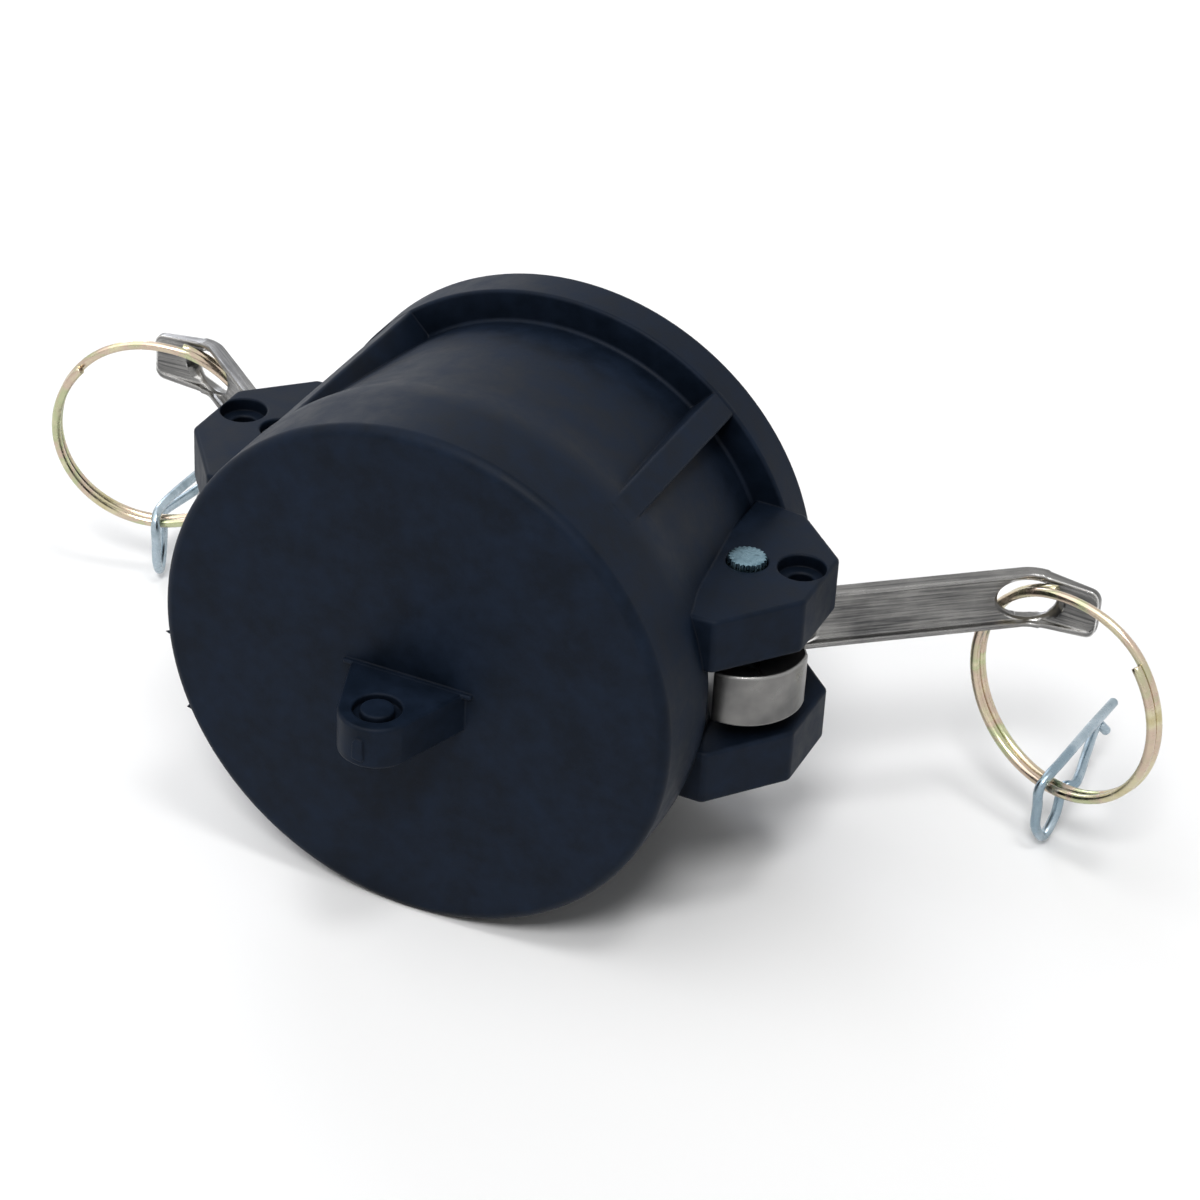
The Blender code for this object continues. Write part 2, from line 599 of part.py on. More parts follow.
def clip_points():
    """The right clip's wire, from the end of its long leg, round the eye, to its hook."""
    inward = ring_axes()[1]
    normal = ring_axes()[0]
    outward = (ring_point(CLIP_TURN, 0.0) - inward * RING_MEAN_RADIUS).normalized()
    over = -outward * (RING_WIRE_RADIUS + 0.45 * MM + CLIP_WIRE_RADIUS)
    front = normal * CLIP_EYE_HALF_GAP
    knee = outward * (CLIP_EYE_DROP - CLIP_EYE_HALF_GAP)
    toe = outward * CLIP_EYE_DROP
    points = [CLIP_LONG_END, CLIP_LONG_END * 0.55 + over * 0.7, CLIP_LONG_END * 0.16 + over * 1.15]
    points += [over * 1.15 + front * 0.35, over * 0.35 + front * 1.05, knee * 0.4 + front, knee + front * 0.92]
    points += [toe + front * 0.1, knee - front * 0.75, knee * 0.3 - front * 1.1]
    points += [CLIP_SHORT_BEND * 0.45 + over * 0.3 - front * 0.55, CLIP_SHORT_BEND]
    points += [CLIP_SHORT_BEND * 0.5 + CLIP_SHORT_END * 0.5, CLIP_SHORT_END, CLIP_SHORT_END + CLIP_HOOK]
    return points


def make_clip(name, side, home, parent, finish):
    """A safety clip, with its origin at the middle of the ring's wire inside its eye."""
    path = [Vector((side * p.x, p.y, p.z)) for p in smooth_path(clip_points(), 1.1 * MM)]
    clip = wire(name, path, CLIP_WIRE_RADIUS, home, parent)
    clip.data.materials.append(finish)
    at = ring_point(CLIP_TURN, 0.0)
    clip.location = Vector((side * at.x, at.y, at.z))
    return clip


def stand_on_origin(axis, parts):
    """Moves the cap so that it stands on the ground, with the middle of its bounding box over the origin."""
    bpy.context.view_layer.update()
    graph = bpy.context.evaluated_depsgraph_get()
    points = []
    for obj in parts.objects:
        if obj.type in {"MESH", "CURVE"}:
            shown = obj.evaluated_get(graph)
            points += [obj.matrix_world @ vertex.co for vertex in shown.to_mesh().vertices]
            shown.to_mesh_clear()
    low = [min(point[i] for point in points) for i in range(3)]
    high = [max(point[i] for point in points) for i in range(3)]
    axis.location = (-(low[0] + high[0]) / 2, -(low[1] + high[1]) / 2, -low[2])


def main():
    """Builds the cap and everything that is on it."""
    clear_scene()
    parts = collection("camlock_dust_cap")
    cutters = collection("cutters", shown=False)
    plastic = material("black_polypropylene", (0.012, 0.014, 0.018), 0.48, 0.0)
    rubber = material("nitrile_rubber", (0.01, 0.01, 0.01), 0.7, 0.0)
    steel = material("stainless_steel", (0.42, 0.41, 0.39), 0.38, 1.0)
    yellow_zinc = material("yellow_zinc", (0.55, 0.5, 0.33), 0.28, 1.0)
    blue_zinc = material("blue_zinc", (0.5, 0.56, 0.6), 0.32, 1.0)

    axis = bpy.data.objects.new("cap_axis", None)
    parts.objects.link(axis)

    make_body(parts, cutters, axis, plastic)
    make_gasket(parts, axis, rubber)
    for side, label, proud in ((1, "right", PIN_PROUD_RIGHT), (-1, "left", PIN_PROUD_LEFT)):
        make_pin(f"cam_pin_{label}", side, proud, parts, axis, blue_zinc)
        make_arm(f"cam_arm_{label}", side, parts, cutters, axis, steel)
        ring = make_ring(f"pull_ring_{label}", side, parts, axis, yellow_zinc)
        make_clip(f"safety_clip_{label}", side, parts, ring, blue_zinc)
    stand_on_origin(axis, parts)


main()
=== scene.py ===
"""A camlock dust cap on a white table: black moulded cap, stainless cam arms, split rings and wire clips.

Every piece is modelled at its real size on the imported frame's axes, in metres: +Y from the closed face to
the mouth, +X to the right, +Z up.
"""

import json
import logging
import math
from dataclasses import dataclass
from enum import Enum

import bmesh
import bpy
from mathutils import Matrix, Quaternion, Vector

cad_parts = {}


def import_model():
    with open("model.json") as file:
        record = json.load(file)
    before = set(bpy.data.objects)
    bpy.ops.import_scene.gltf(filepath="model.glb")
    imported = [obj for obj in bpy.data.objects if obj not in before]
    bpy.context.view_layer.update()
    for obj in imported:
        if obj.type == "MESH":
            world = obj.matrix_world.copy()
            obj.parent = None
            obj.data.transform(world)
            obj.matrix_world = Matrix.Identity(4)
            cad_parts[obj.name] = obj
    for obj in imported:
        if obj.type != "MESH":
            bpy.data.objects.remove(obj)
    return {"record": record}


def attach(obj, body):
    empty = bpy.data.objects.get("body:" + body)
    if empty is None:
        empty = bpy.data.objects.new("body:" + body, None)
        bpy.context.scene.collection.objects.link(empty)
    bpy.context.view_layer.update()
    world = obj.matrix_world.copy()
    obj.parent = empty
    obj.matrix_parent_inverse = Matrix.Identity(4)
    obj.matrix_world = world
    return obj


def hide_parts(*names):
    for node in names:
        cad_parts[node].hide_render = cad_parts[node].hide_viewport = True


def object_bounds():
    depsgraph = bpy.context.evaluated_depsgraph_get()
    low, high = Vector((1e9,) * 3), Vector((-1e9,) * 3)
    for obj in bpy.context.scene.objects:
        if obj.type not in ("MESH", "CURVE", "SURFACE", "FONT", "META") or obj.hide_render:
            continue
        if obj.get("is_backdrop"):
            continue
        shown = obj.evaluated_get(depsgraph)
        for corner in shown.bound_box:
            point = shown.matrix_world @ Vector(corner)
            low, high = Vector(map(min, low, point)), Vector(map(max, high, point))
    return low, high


LOG = logging.getLogger("dust_cap")
MM = 0.001
# Edges that turn by more degrees than this are shown sharp, unless a piece has its own angle.
SHARP = 35.0

Colour = tuple[float, float, float, float]
Corner = tuple[float, float, float]
Steps = tuple[tuple[float, float], ...]
Material = bpy.types.Material
Piece = bpy.types.Object
Shape = bmesh.types.BMesh
Socket = bpy.types.NodeSocket
Tree = bpy.types.NodeTree


class Side(Enum):
    """The two sides of the cap, with the sign of X that each lies on."""

    LEFT = ("left", -1)
    RIGHT = ("right", 1)

    @property
    def label(self) -> str:
        """The side's name in the frame."""
        return self.value[0]

    @property
    def sign(self) -> int:
        """1 on the right, -1 on the left."""
        return self.value[1]


# How each pin was pressed: the right one stands proud of its ear, the left one is sunk in it.
PRESSED = {Side.LEFT: -1.0 * MM, Side.RIGHT: 0.8 * MM}


def linear(colour: str) -> Colour:
    """Turns a screen colour into linear light by the sRGB curve.

    Args:
        colour: Six hex digits of sRGB.

    Returns:
        Linear red, green, blue and an alpha of 1.
    """
    parts = [int(colour[i:i + 2], 16) / 255 for i in (0, 2, 4)]
    red, green, blue = [p / 12.92 if p <= 0.04045 else ((p + 0.055) / 1.055) ** 2.4 for p in parts]
    return red, green, blue, 1.0


def grey(level: float) -> Colour:
    """A neutral linear colour for ramps that carry a number."""
    return level, level, level, 1.0


def add_node(tree: Tree, kind: str, inputs: dict | None = None, **settings) -> bpy.types.Node:
    """Adds a shader node, sets its properties and fills or links its inputs.

    Args:
        tree: The node tree.
        kind: The node's type name.
        inputs: Socket name or number to a value, or to another node's output socket.
        settings: Properties of the node.

    Returns:
        The new node.
    """
    node = tree.nodes.new(kind)
    for name, value in settings.items():
        setattr(node, name, value)
    for name, value in (inputs or {}).items():
        if isinstance(value, bpy.types.NodeSocket):
            tree.links.new(value, node.inputs[name])
        else:
            node.inputs[name].default_value = value
    return node


def ramp(tree: Tree, factor: Socket, stops: list[tuple[float, Colour]]) -> Socket:
    """Adds a colour ramp.

    Args:
        tree: The node tree.
        factor: What drives the ramp.
        stops: Positions and linear colours, in order.

    Returns:
        The ramp's colour.
    """
    node = add_node(tree, "ShaderNodeValToRGB", {"Fac": factor})
    band = node.color_ramp
    while len(band.elements) < len(stops):
        band.elements.new(0.5)
    for element, (position, colour) in zip(band.elements, stops):
        element.position = position
        element.color = colour
    return node.outputs["Color"]


def noise(tree: Tree, place: Socket, scale: float, detail: float, **more: float) -> Socket:
    """Adds a noise pattern.

    Args:
        tree: The node tree.
        place: Where the pattern is read.
        scale: How fine it is, in cells to each unit of the place.
        detail: How many finer octaves it has.
        more: Its other inputs, by name.

    Returns:
        The pattern's value.
    """
    inputs = {"Vector": place, "Scale": scale, "Detail": detail, **more}
    return add_node(tree, "ShaderNodeTexNoise", inputs).outputs["Fac"]


def mix(tree: Tree, factor: Socket | float, under: Socket, over: Socket | Colour,
        blend: str = "MIX") -> Socket:
    """Adds a mix of two colours.

    Args:
        tree: The node tree.
        factor: How much of the upper colour comes through.
        under: The lower colour.
        over: The upper colour.
        blend: How the two are mixed.

    Returns:
        The mixed colour.
    """
    inputs = {"Factor": factor, 6: under, 7: over}
    return add_node(tree, "ShaderNodeMix", inputs, data_type="RGBA", blend_type=blend).outputs[2]


def bump(tree: Tree, height: Socket, strength: float, depth: float, under: Socket | None = None) -> Socket:
    """Adds relief to a surface.

    Args:
        tree: The node tree.
        height: The relief's pattern.
        strength: How strongly it shows.
        depth: How deep it is, in metres.
        under: The normal that it lies on, or nothing for the mesh's own.

    Returns:
        The normal with the relief in it.
    """
    inputs = {"Height": height, "Strength": strength, "Distance": depth}
    if under is not None:
        inputs["Normal"] = under
    return add_node(tree, "ShaderNodeBump", inputs).outputs["Normal"]


def soft_edges(tree: Tree, radius: float, samples: int = 4) -> Socket:
    """Adds a normal that is rounded at edges by a radius in metres."""
    return add_node(tree, "ShaderNodeBevel", {"Radius": radius}, samples=samples).outputs["Normal"]


def openness(tree: Tree, reach: float) -> Socket:
    """Adds a value from 0 deep in a corner to 1 on a free face, looking as far as the reach in metres."""
    return add_node(tree, "ShaderNodeAmbientOcclusion", {"Distance": reach}, samples=6).outputs["AO"]


def start_material(name: str, metallic: float) -> tuple[Material, Tree, bpy.types.Node]:
    """Starts a material.

    Args:
        name: The material's name.
        metallic: 1 for bare metal, 0 for anything else.

    Returns:
        The material, its node tree and its shader.
    """
    made = bpy.data.materials.new(name)
    made.use_nodes = True
    shader = made.node_tree.nodes["Principled BSDF"]
    shader.inputs["Metallic"].default_value = metallic
    return made, made.node_tree, shader


def connect(tree: Tree, shader: bpy.types.Node, colour: Socket, rough: Socket, normal: Socket) -> None:
    """Links a finish's colour, roughness and normal to its shader."""
    for name, socket in (("Base Color", colour), ("Roughness", rough), ("Normal", normal)):
        tree.links.new(socket, shader.inputs[name])


@dataclass(frozen=True)
class Moulded:
    """Black glass-filled polypropylene or rubber as it leaves a fine spark-eroded mould."""

    name: str
    colour: str
    haze: str
    roughness: float
    roughness_spread: float = 0.1
    haze_scale: float = 210.0
    speck_scale: float = 3400.0
    dust: float = 0.6
    corner_reach: float = 7.0 * MM
    corner_shade: float = 0.35
    grain_scale: float = 2600.0
    grain_depth: float = 0.02 * MM
    wave_scale: float = 60.0
    wave_depth: float = 0.1 * MM
    edge_round: float = 0.35 * MM
    sheen: float = 0.4

    def material(self) -> Material:
        """Builds the material: mottled haze over black, fine mould grain and slightly rounded edges.

        Returns:
            The material.
        """
        made, tree, shader = start_material(self.name, 0.0)
        # The grain traps part of the light that a polished skin would throw back.
        shader.inputs["Specular IOR Level"].default_value = self.sheen
        place = add_node(tree, "ShaderNodeTexCoord").outputs["Object"]
        # Where the skin froze early, glass fibres lie close under it and leave a faint grey haze, in patches
        # of a few millimetres.
        patches = noise(tree, place, self.haze_scale, 5.0, Roughness=0.65)
        hazy = ramp(tree, patches, [(0.35, linear(self.colour)), (0.72, linear(self.haze))])
        # Handling leaves fine pale specks of dust in the grain.
        specks = noise(tree, place, self.speck_scale, 2.0)
        dust = ramp(tree, specks, [(0.64, grey(0.0)), (0.8, grey(self.dust))])
        dusty = mix(tree, dust, hazy, linear(self.haze))
        # Inner corners darken as far as the reach: painted shade, multiplied into the colour.
        open_air = openness(tree, self.corner_reach)
        free = ramp(tree, open_air, [(0.2, grey(self.corner_shade)), (0.9, grey(1.0))])
        colour = mix(tree, 1.0, dusty, free, "MULTIPLY")
        low, high = self.roughness - self.roughness_spread, self.roughness + self.roughness_spread
        rough = ramp(tree, patches, [(0.3, grey(low)), (0.75, grey(high))])
        # The mould's spark-eroded grain, down to a twentieth of a millimetre, lies over slow sink waves.
        waves = noise(tree, place, self.wave_scale, 1.0)
        slow = bump(tree, waves, 0.35, self.wave_depth, soft_edges(tree, self.edge_round))
        grain = noise(tree, place, self.grain_scale, 3.0, Roughness=0.6)
        connect(tree, shader, colour, rough, bump(tree, grain, 0.6, self.grain_depth, slow))
        return made


@dataclass(frozen=True)
class CastSteel:
    """Stainless steel that was cast, then rolled in a tumbling barrel and rubbed along its length."""

    name: str
    colour: str
    shade: str
    roughness: float
    # The edges' colour: polished metal, brightened into a painted highlight.
    rim: str
    rim_roughness: float = 0.14
    rim_width: float = 0.45 * MM
    # The colour of the painted shade in the inner corners.
    corner: str = "2e2c2b"
    corner_reach: float = 3.0 * MM
    streak_length: float = 12.0 * MM
    streak_width: float = 0.45 * MM
    streak_depth: float = 0.03 * MM
    patch_scale: float = 150.0
    patch_share: float = 0.35
    pit_scale: float = 900.0
    pit_depth: float = 0.06 * MM
    edge_round: float = 0.3 * MM

    def material(self) -> Material:
        """Builds the material: long streaks along U, cast pits, painted shade in the corners, and edges
        polished by wear and brightened as a painted highlight.

        Returns:
            The material.
        """
        made, tree, shader = start_material(self.name, 1.0)
        coords = add_node(tree, "ShaderNodeTexCoord").outputs
        # Belt marks run along the strip: the noise is drawn out along it and narrow across it.
        drawn_out = (1 / self.streak_length, 1 / self.streak_width, 1.0)
        along = add_node(tree, "ShaderNodeMapping", {"Vector": coords["UV"], "Scale": drawn_out})
        streaks = noise(tree, along.outputs["Vector"], 1.0, 4.0, Roughness=0.6)
        patches = noise(tree, coords["Object"], self.patch_scale, 3.0)
        both = {"Factor": self.patch_share, 2: streaks, 3: patches}
        marks = add_node(tree, "ShaderNodeMix", both).outputs[0]
        base = ramp(tree, marks, [(0.38, linear(self.shade)), (0.6, linear(self.colour))])
        # Inner corners darken as far as the reach: painted shade, in place of the dark surroundings that the
        # channel would reflect.
        skin = ramp(tree, openness(tree, self.corner_reach), [(0.25, grey(0.75)), (0.85, grey(0.0))])
        shaded_base = mix(tree, skin, base, linear(self.corner))
        # Tumbling polishes the edges, and their near-white colour is partly a painted highlight: there the
        # rounded normal leaves the true one.
        true = add_node(tree, "ShaderNodeNewGeometry").outputs["Normal"]
        turned = add_node(tree, "ShaderNodeVectorMath", {0: soft_edges(tree, self.rim_width, 6), 1: true},
                          operation="DOT_PRODUCT").outputs["Value"]
        edge_polish_and_highlight = ramp(tree, turned, [(0.9, grey(1.0)), (0.992, grey(0.0))])
        colour = mix(tree, edge_polish_and_highlight, shaded_base, linear(self.rim))
        dull = ramp(tree, marks, [(0.35, grey(self.roughness + 0.14)), (0.65, grey(self.roughness - 0.08))])
        rough = add_node(tree, "ShaderNodeMix", {"Factor": edge_polish_and_highlight, 2: dull, 3: self.rim_roughness}).outputs[0]
        # Shallow pits left by the investment shell, and the belt's marks over them.
        pits = noise(tree, coords["Object"], self.pit_scale, 2.0)
        cast = bump(tree, pits, 0.4, self.pit_depth, soft_edges(tree, self.edge_round))
        connect(tree, shader, colour, rough, bump(tree, streaks, 0.35, self.streak_depth, cast))
        return made


@dataclass(frozen=True)
class Plated:
    """Zinc plated wire, passivated clear or yellow, so thin films tint it unevenly."""

    name: str
    tints: tuple[str, ...]
    roughness: float
    tint_scale: float = 90.0
    dull_scale: float = 700.0
    line_scale: tuple[float, float, float] = (120.0, 4200.0, 1.0)
    line_depth: float = 0.01 * MM

    def material(self) -> Material:
        """Builds the material: drifting film tints, dull patches and faint drawing lines.

        Returns:
            The material.
        """
        made, tree, shader = start_material(self.name, 1.0)
        coords = add_node(tree, "ShaderNodeTexCoord").outputs
        # The passivation film is a fraction of a wavelength thick and changes hue where it thins.
        film = noise(tree, coords["Object"], self.tint_scale, 3.0, Distortion=1.2)
        first, span = 0.3, 0.4 / max(1, len(self.tints) - 1)
        colour = ramp(tree, film, [(first + span * i, linear(tint)) for i, tint in enumerate(self.tints)])
        dull = noise(tree, coords["Object"], self.dull_scale, 3.0)
        rough = ramp(tree, dull, [(0.35, grey(self.roughness - 0.08)), (0.7, grey(self.roughness + 0.14))])
        # The drawing die leaves lines along the wire.
        drawn = add_node(tree, "ShaderNodeMapping", {"Vector": coords["UV"], "Scale": self.line_scale})
        lines = noise(tree, drawn.outputs["Vector"], 1.0, 2.0)
        connect(tree, shader, colour, rough, bump(tree, lines, 0.12, self.line_depth))
        return made


POLYPROPYLENE = Moulded("black_polypropylene_skin", "0b131e", "131d2c", 0.52, sheen=0.08)
RUBBER = Moulded("nitrile_rubber_skin", "121212", "1d1d1c", 0.62, grain_scale=3400.0)
STEEL = CastSteel("cast_stainless", "858482", "4c4c4d", 0.28, "f4f3f1")
YELLOW_ZINC = Plated("yellow_zinc_wire", ("bdb28c", "cbc3a4", "c4b09f", "b4b993", "cfc8ab"), 0.22)
PIN_ZINC = Plated("blue_zinc_pin", ("54707d", "7c98a5", "4a626e"), 0.3, 400.0)
BLUE_ZINC = Plated("blue_zinc_wire", ("8497a3", "aab8c1", "74868f"), 0.27, 60.0)


def fillet(corners: list[Corner], steps: int = 5, closed: bool = False) -> list[Vector]:
    """Rounds the corners of an outline.

    Args:
        corners: Points with the radius that each corner gets, 0 for sharp.
        steps: Chords on each arc.
        closed: Whether the last corner joins the first.

    Returns:
        The rounded outline, with the same number of points at every rounded corner.
    """
    # An arc takes less than half of each side, so that two on one side never meet.
    most = 0.49
    path = []
    count = len(corners)
    for i, (x, y, radius) in enumerate(corners):
        here = Vector((x, y))
        if radius <= 0 or (not closed and i in (0, count - 1)):
            path.append(here)
            continue
        before = Vector(corners[i - 1][:2]) - here
        after = Vector(corners[(i + 1) % count][:2]) - here
        half = before.angle(after) / 2
        reach = min(radius / math.tan(half), before.length * most, after.length * most)
        radius = reach * math.tan(half)
        first = here + before.normalized() * reach
        last = here + after.normalized() * reach
        centre = here + (before.normalized() + after.normalized()).normalized() * (radius / math.sin(half))
        for k in range(steps + 1):
            spoke = (first - centre).lerp(last - centre, k / steps).normalized() * radius
            path.append(centre + spoke)
    return path


def arc(centre: tuple[float, float], radius: float, start: float, end: float, steps: int) -> list[Corner]:
    """Sharp corners on an arc, for use inside an outline.

    Args:
        centre: The arc's middle.
        radius: Its radius.
        start: First angle in degrees.
        end: Last angle in degrees.
        steps: Number of chords.

    Returns:
        Corners with no rounding of their own.
    """
    angles = [math.radians(start + (end - start) * i / steps) for i in range(steps + 1)]
    return [(centre[0] + radius * math.cos(t), centre[1] + radius * math.sin(t), 0.0) for t in angles]


def circle(centre: tuple[float, float], radius: float, sides: int) -> list[Vector]:
    """The corners of a many-sided circle."""
    return [Vector(corner[:2]) for corner in arc(centre, radius, 0, 360 - 360 / sides, sides - 1)]


def turns(count: int) -> list[float]:
    """Equal steps round a circle, in radians from 0."""
    return [math.tau * k / count for k in range(count)]


def revolve(profile: list[Vector], steps: int) -> Shape:
    """Turns a profile of (radius, distance along) about the Y axis.

    Args:
        profile: The profile, open with both ends on the axis, or closed.
        steps: Faces round the turn.

    Returns:
        The turned solid.
    """
    weld = 0.002 * MM
    shape = bmesh.new()
    verts = [shape.verts.new((point.x, point.y, 0.0)) for point in profile]
    edges = [shape.edges.new(pair) for pair in zip(verts, verts[1:])]
    bmesh.ops.spin(shape, geom=verts + edges, axis=(0, 1, 0), cent=(0, 0, 0), dvec=(0, 0, 0), angle=math.tau,
                   steps=steps, use_merge=True)
    bmesh.ops.remove_doubles(shape, verts=shape.verts, dist=weld)
    bmesh.ops.recalc_face_normals(shape, faces=shape.faces)
    return shape


def prism(outline: list[Vector], low: float, high: float, edge: float = 0.0, segments: int = 3) -> Shape:
    """Makes a plate from an outline in X and Y, with rounded rims.

    Args:
        outline: The outline, in order.
        low: Height of the underside.
        high: Height of the top.
        edge: Radius of the rims, 0 for sharp.
        segments: Faces across each rounded rim.

    Returns:
        The plate.
    """
    level = 0.0001 * MM
    shape = bmesh.new()
    face = shape.faces.new([shape.verts.new((p.x, p.y, low)) for p in outline])
    made = bmesh.ops.extrude_face_region(shape, geom=[face])["geom"]
    upper = [g for g in made if isinstance(g, bmesh.types.BMVert)]
    bmesh.ops.translate(shape, verts=upper, vec=(0, 0, high - low))
    bmesh.ops.recalc_face_normals(shape, faces=shape.faces)
    if edge > 0:
        rims = [e for e in shape.edges if abs(e.verts[0].co.z - e.verts[1].co.z) < level]
        bmesh.ops.bevel(shape, geom=rims, offset=edge, segments=segments, profile=0.5, affect="EDGES",
                        clamp_overlap=True)
    return shape


def plug(rings: list[list], looped: bool = False) -> Shape:
    """Skins a row of rings of points.

    Args:
        rings: Rings with the same number of points.
        looped: Whether the last ring joins the first. Otherwise each end is closed by a face.

    Returns:
        The closed skin, its points and then its faces in the order of the rings.
    """
    shape = bmesh.new()
    rows = [[shape.verts.new(point) for point in ring] for ring in rings]
    size = len(rows[0])
    for lower, upper in zip(rows, rows[1:] + rows[:1] if looped else rows[1:]):
        for i in range(size):
            j = (i + 1) % size
            shape.faces.new((lower[i], lower[j], upper[j], upper[i]))
    if not looped:
        shape.faces.new(rows[0])
        shape.faces.new(rows[-1])
    bmesh.ops.recalc_face_normals(shape, faces=shape.faces)
    return shape


def sweep(stations: list[list[Vector]], lengths: list[float]) -> Shape:
    """Skins a row of closed sections, with UV along and round the skin in metres.

    Args:
        stations: Sections with the same number of points.
        lengths: Distance along the sweep of each section.

    Returns:
        The closed skin.
    """
    shape = plug(stations)
    shape.verts.index_update()
    uv = shape.loops.layers.uv.new("UVMap")
    middle = stations[len(stations) // 2]
    around = [0.0]
    for a, b in zip(middle, middle[1:] + middle[:1]):
        around.append(around[-1] + (b - a).length)
    size = len(middle)
    sides = size * (len(stations) - 1)
    for number, face in enumerate(shape.faces):
        closes_round = number % size == size - 1
        for loop in face.loops:
            row, i = divmod(loop.vert.index, size)
            if number < sides:
                loop[uv].uv = (lengths[row], around[size if closes_round and i == 0 else i])
            else:
                loop[uv].uv = (loop.vert.co.x, loop.vert.co.z)
    return shape


def tube(path: list[Vector], radius: float, sides: int, end_round: float) -> Shape:
    """Sweeps a round wire along a path, with its cut ends slightly rounded.

    Args:
        path: Points along the wire's middle.
        radius: The wire's radius.
        sides: Points round the wire.
        end_round: Share of the radius that the ends are rounded by.

    Returns:
        The wire.
    """
    tangents = [(b - a).normalized() for a, b in zip(path, path[1:])]
    tangents = [tangents[0]] + [(a + b).normalized() for a, b in zip(tangents, tangents[1:])] + [tangents[-1]]
    up = tangents[0].orthogonal().normalized()
    stations, lengths, travelled = [], [], 0.0
    soft = radius * end_round
    # The rounding of an end: shares of its length from the cut, and of its depth that is still off there.
    end_curve = ((0.0, 1.0), (0.35, 0.3), (1.0, 0.0))
    spokes = [(math.cos(t), math.sin(t)) for t in turns(sides)]
    for i, (point, tangent) in enumerate(zip(path, tangents)):
        if i:
            travelled += (point - path[i - 1]).length
            up = (up - tangent * up.dot(tangent)).normalized()
        side = tangent.cross(up)
        rings = [(0.0, 1.0)]
        if i == 0:
            rings = [(soft * at, 1 - end_round * off) for at, off in end_curve]
        elif i == len(path) - 1:
            rings = [(-soft * at, 1 - end_round * off) for at, off in reversed(end_curve)]
        for shift, share in rings:
            middle = point + tangent * shift
            stations.append([middle + (up * c + side * s) * radius * share for c, s in spokes])
            lengths.append(travelled + shift)
    return sweep(stations, lengths)


def smooth(points: list[Vector], step: float) -> list[Vector]:
    """Reads a Catmull-Rom curve through the points, about a step apart.

    Args:
        points: What the curve goes through.
        step: Distance between the points read from it.

    Returns:
        The curve's points.
    """
    padded = [points[0] * 2 - points[1], *points, points[-1] * 2 - points[-2]]
    path = []
    for before, start, end, after in zip(padded, padded[1:], padded[2:], padded[3:]):
        count = max(1, round((end - start).length / step))
        for i in range(count):
            t = i / count
            path.append(0.5 * (2 * start + (end - before) * t
                               + (2 * before - 5 * start + 4 * end - after) * t ** 2
                               + (3 * start - before - 3 * end + after) * t ** 3))
    path.append(points[-1])
    return path


def as_object(name: str, shape: Shape, material: Material | None, angle: float = SHARP,
              move: Matrix | None = None) -> Piece:
    """Puts a shape in the scene as an object at the origin, its place in its mesh.

    Args:
        name: The object's name.
        shape: What to show. It is freed.
        material: Its material, or nothing for a cutter.
        angle: Edges sharper than this many degrees stay sharp.
        move: Where the shape goes.

    Returns:
        The object.
    """
    if move is not None:
        shape.transform(move)
        if move.determinant() < 0:
            bmesh.ops.reverse_faces(shape, faces=shape.faces)
    mesh = bpy.data.meshes.new(name)
    shape.to_mesh(mesh)
    shape.free()
    mesh.shade_smooth()
    mesh.set_sharp_from_angle(angle=math.radians(angle))
    made = bpy.data.objects.new(name, mesh)
    bpy.context.scene.collection.objects.link(made)
    if material is not None:
        mesh.materials.append(material)
        flat = made.modifiers.new("flat_faces", "WEIGHTED_NORMAL")
        flat.keep_sharp = True
    return made


def carve(target: Piece, cutters: list[Piece], operation: str = "DIFFERENCE") -> None:
    """Cuts the cutters out of a piece for good, or adds them to it, and removes them.

    Args:
        target: The piece.
        cutters: Closed solids.
        operation: DIFFERENCE to cut, UNION to add.
    """
    for cutter in cutters:
        step = target.modifiers.new(cutter.name, "BOOLEAN")
        step.operation = operation
        step.solver = "EXACT"
        step.object = cutter
    bpy.context.view_layer.update()
    graph = bpy.context.evaluated_depsgraph_get()
    mesh = bpy.data.meshes.new_from_object(target.evaluated_get(graph))
    target.modifiers.clear()
    target.data = mesh
    for cutter in cutters:
        bpy.data.objects.remove(cutter, do_unlink=True)


def join(name: str, pieces: list[Piece], angle: float = SHARP, move: Matrix | None = None) -> Piece:
    """Makes one object of several that share a material.

    Args:
        name: The joined object's name.
        pieces: The objects. They are removed.
        angle: Edges sharper than this many degrees stay sharp.
        move: Where the joined object goes.

    Returns:
        The joined object.
    """
    shape = bmesh.new()
    material = pieces[0].data.materials[0]
    for piece in pieces:
        shape.from_mesh(piece.data)
        bpy.data.objects.remove(piece, do_unlink=True)
    return as_object(name, shape, material, angle, move)


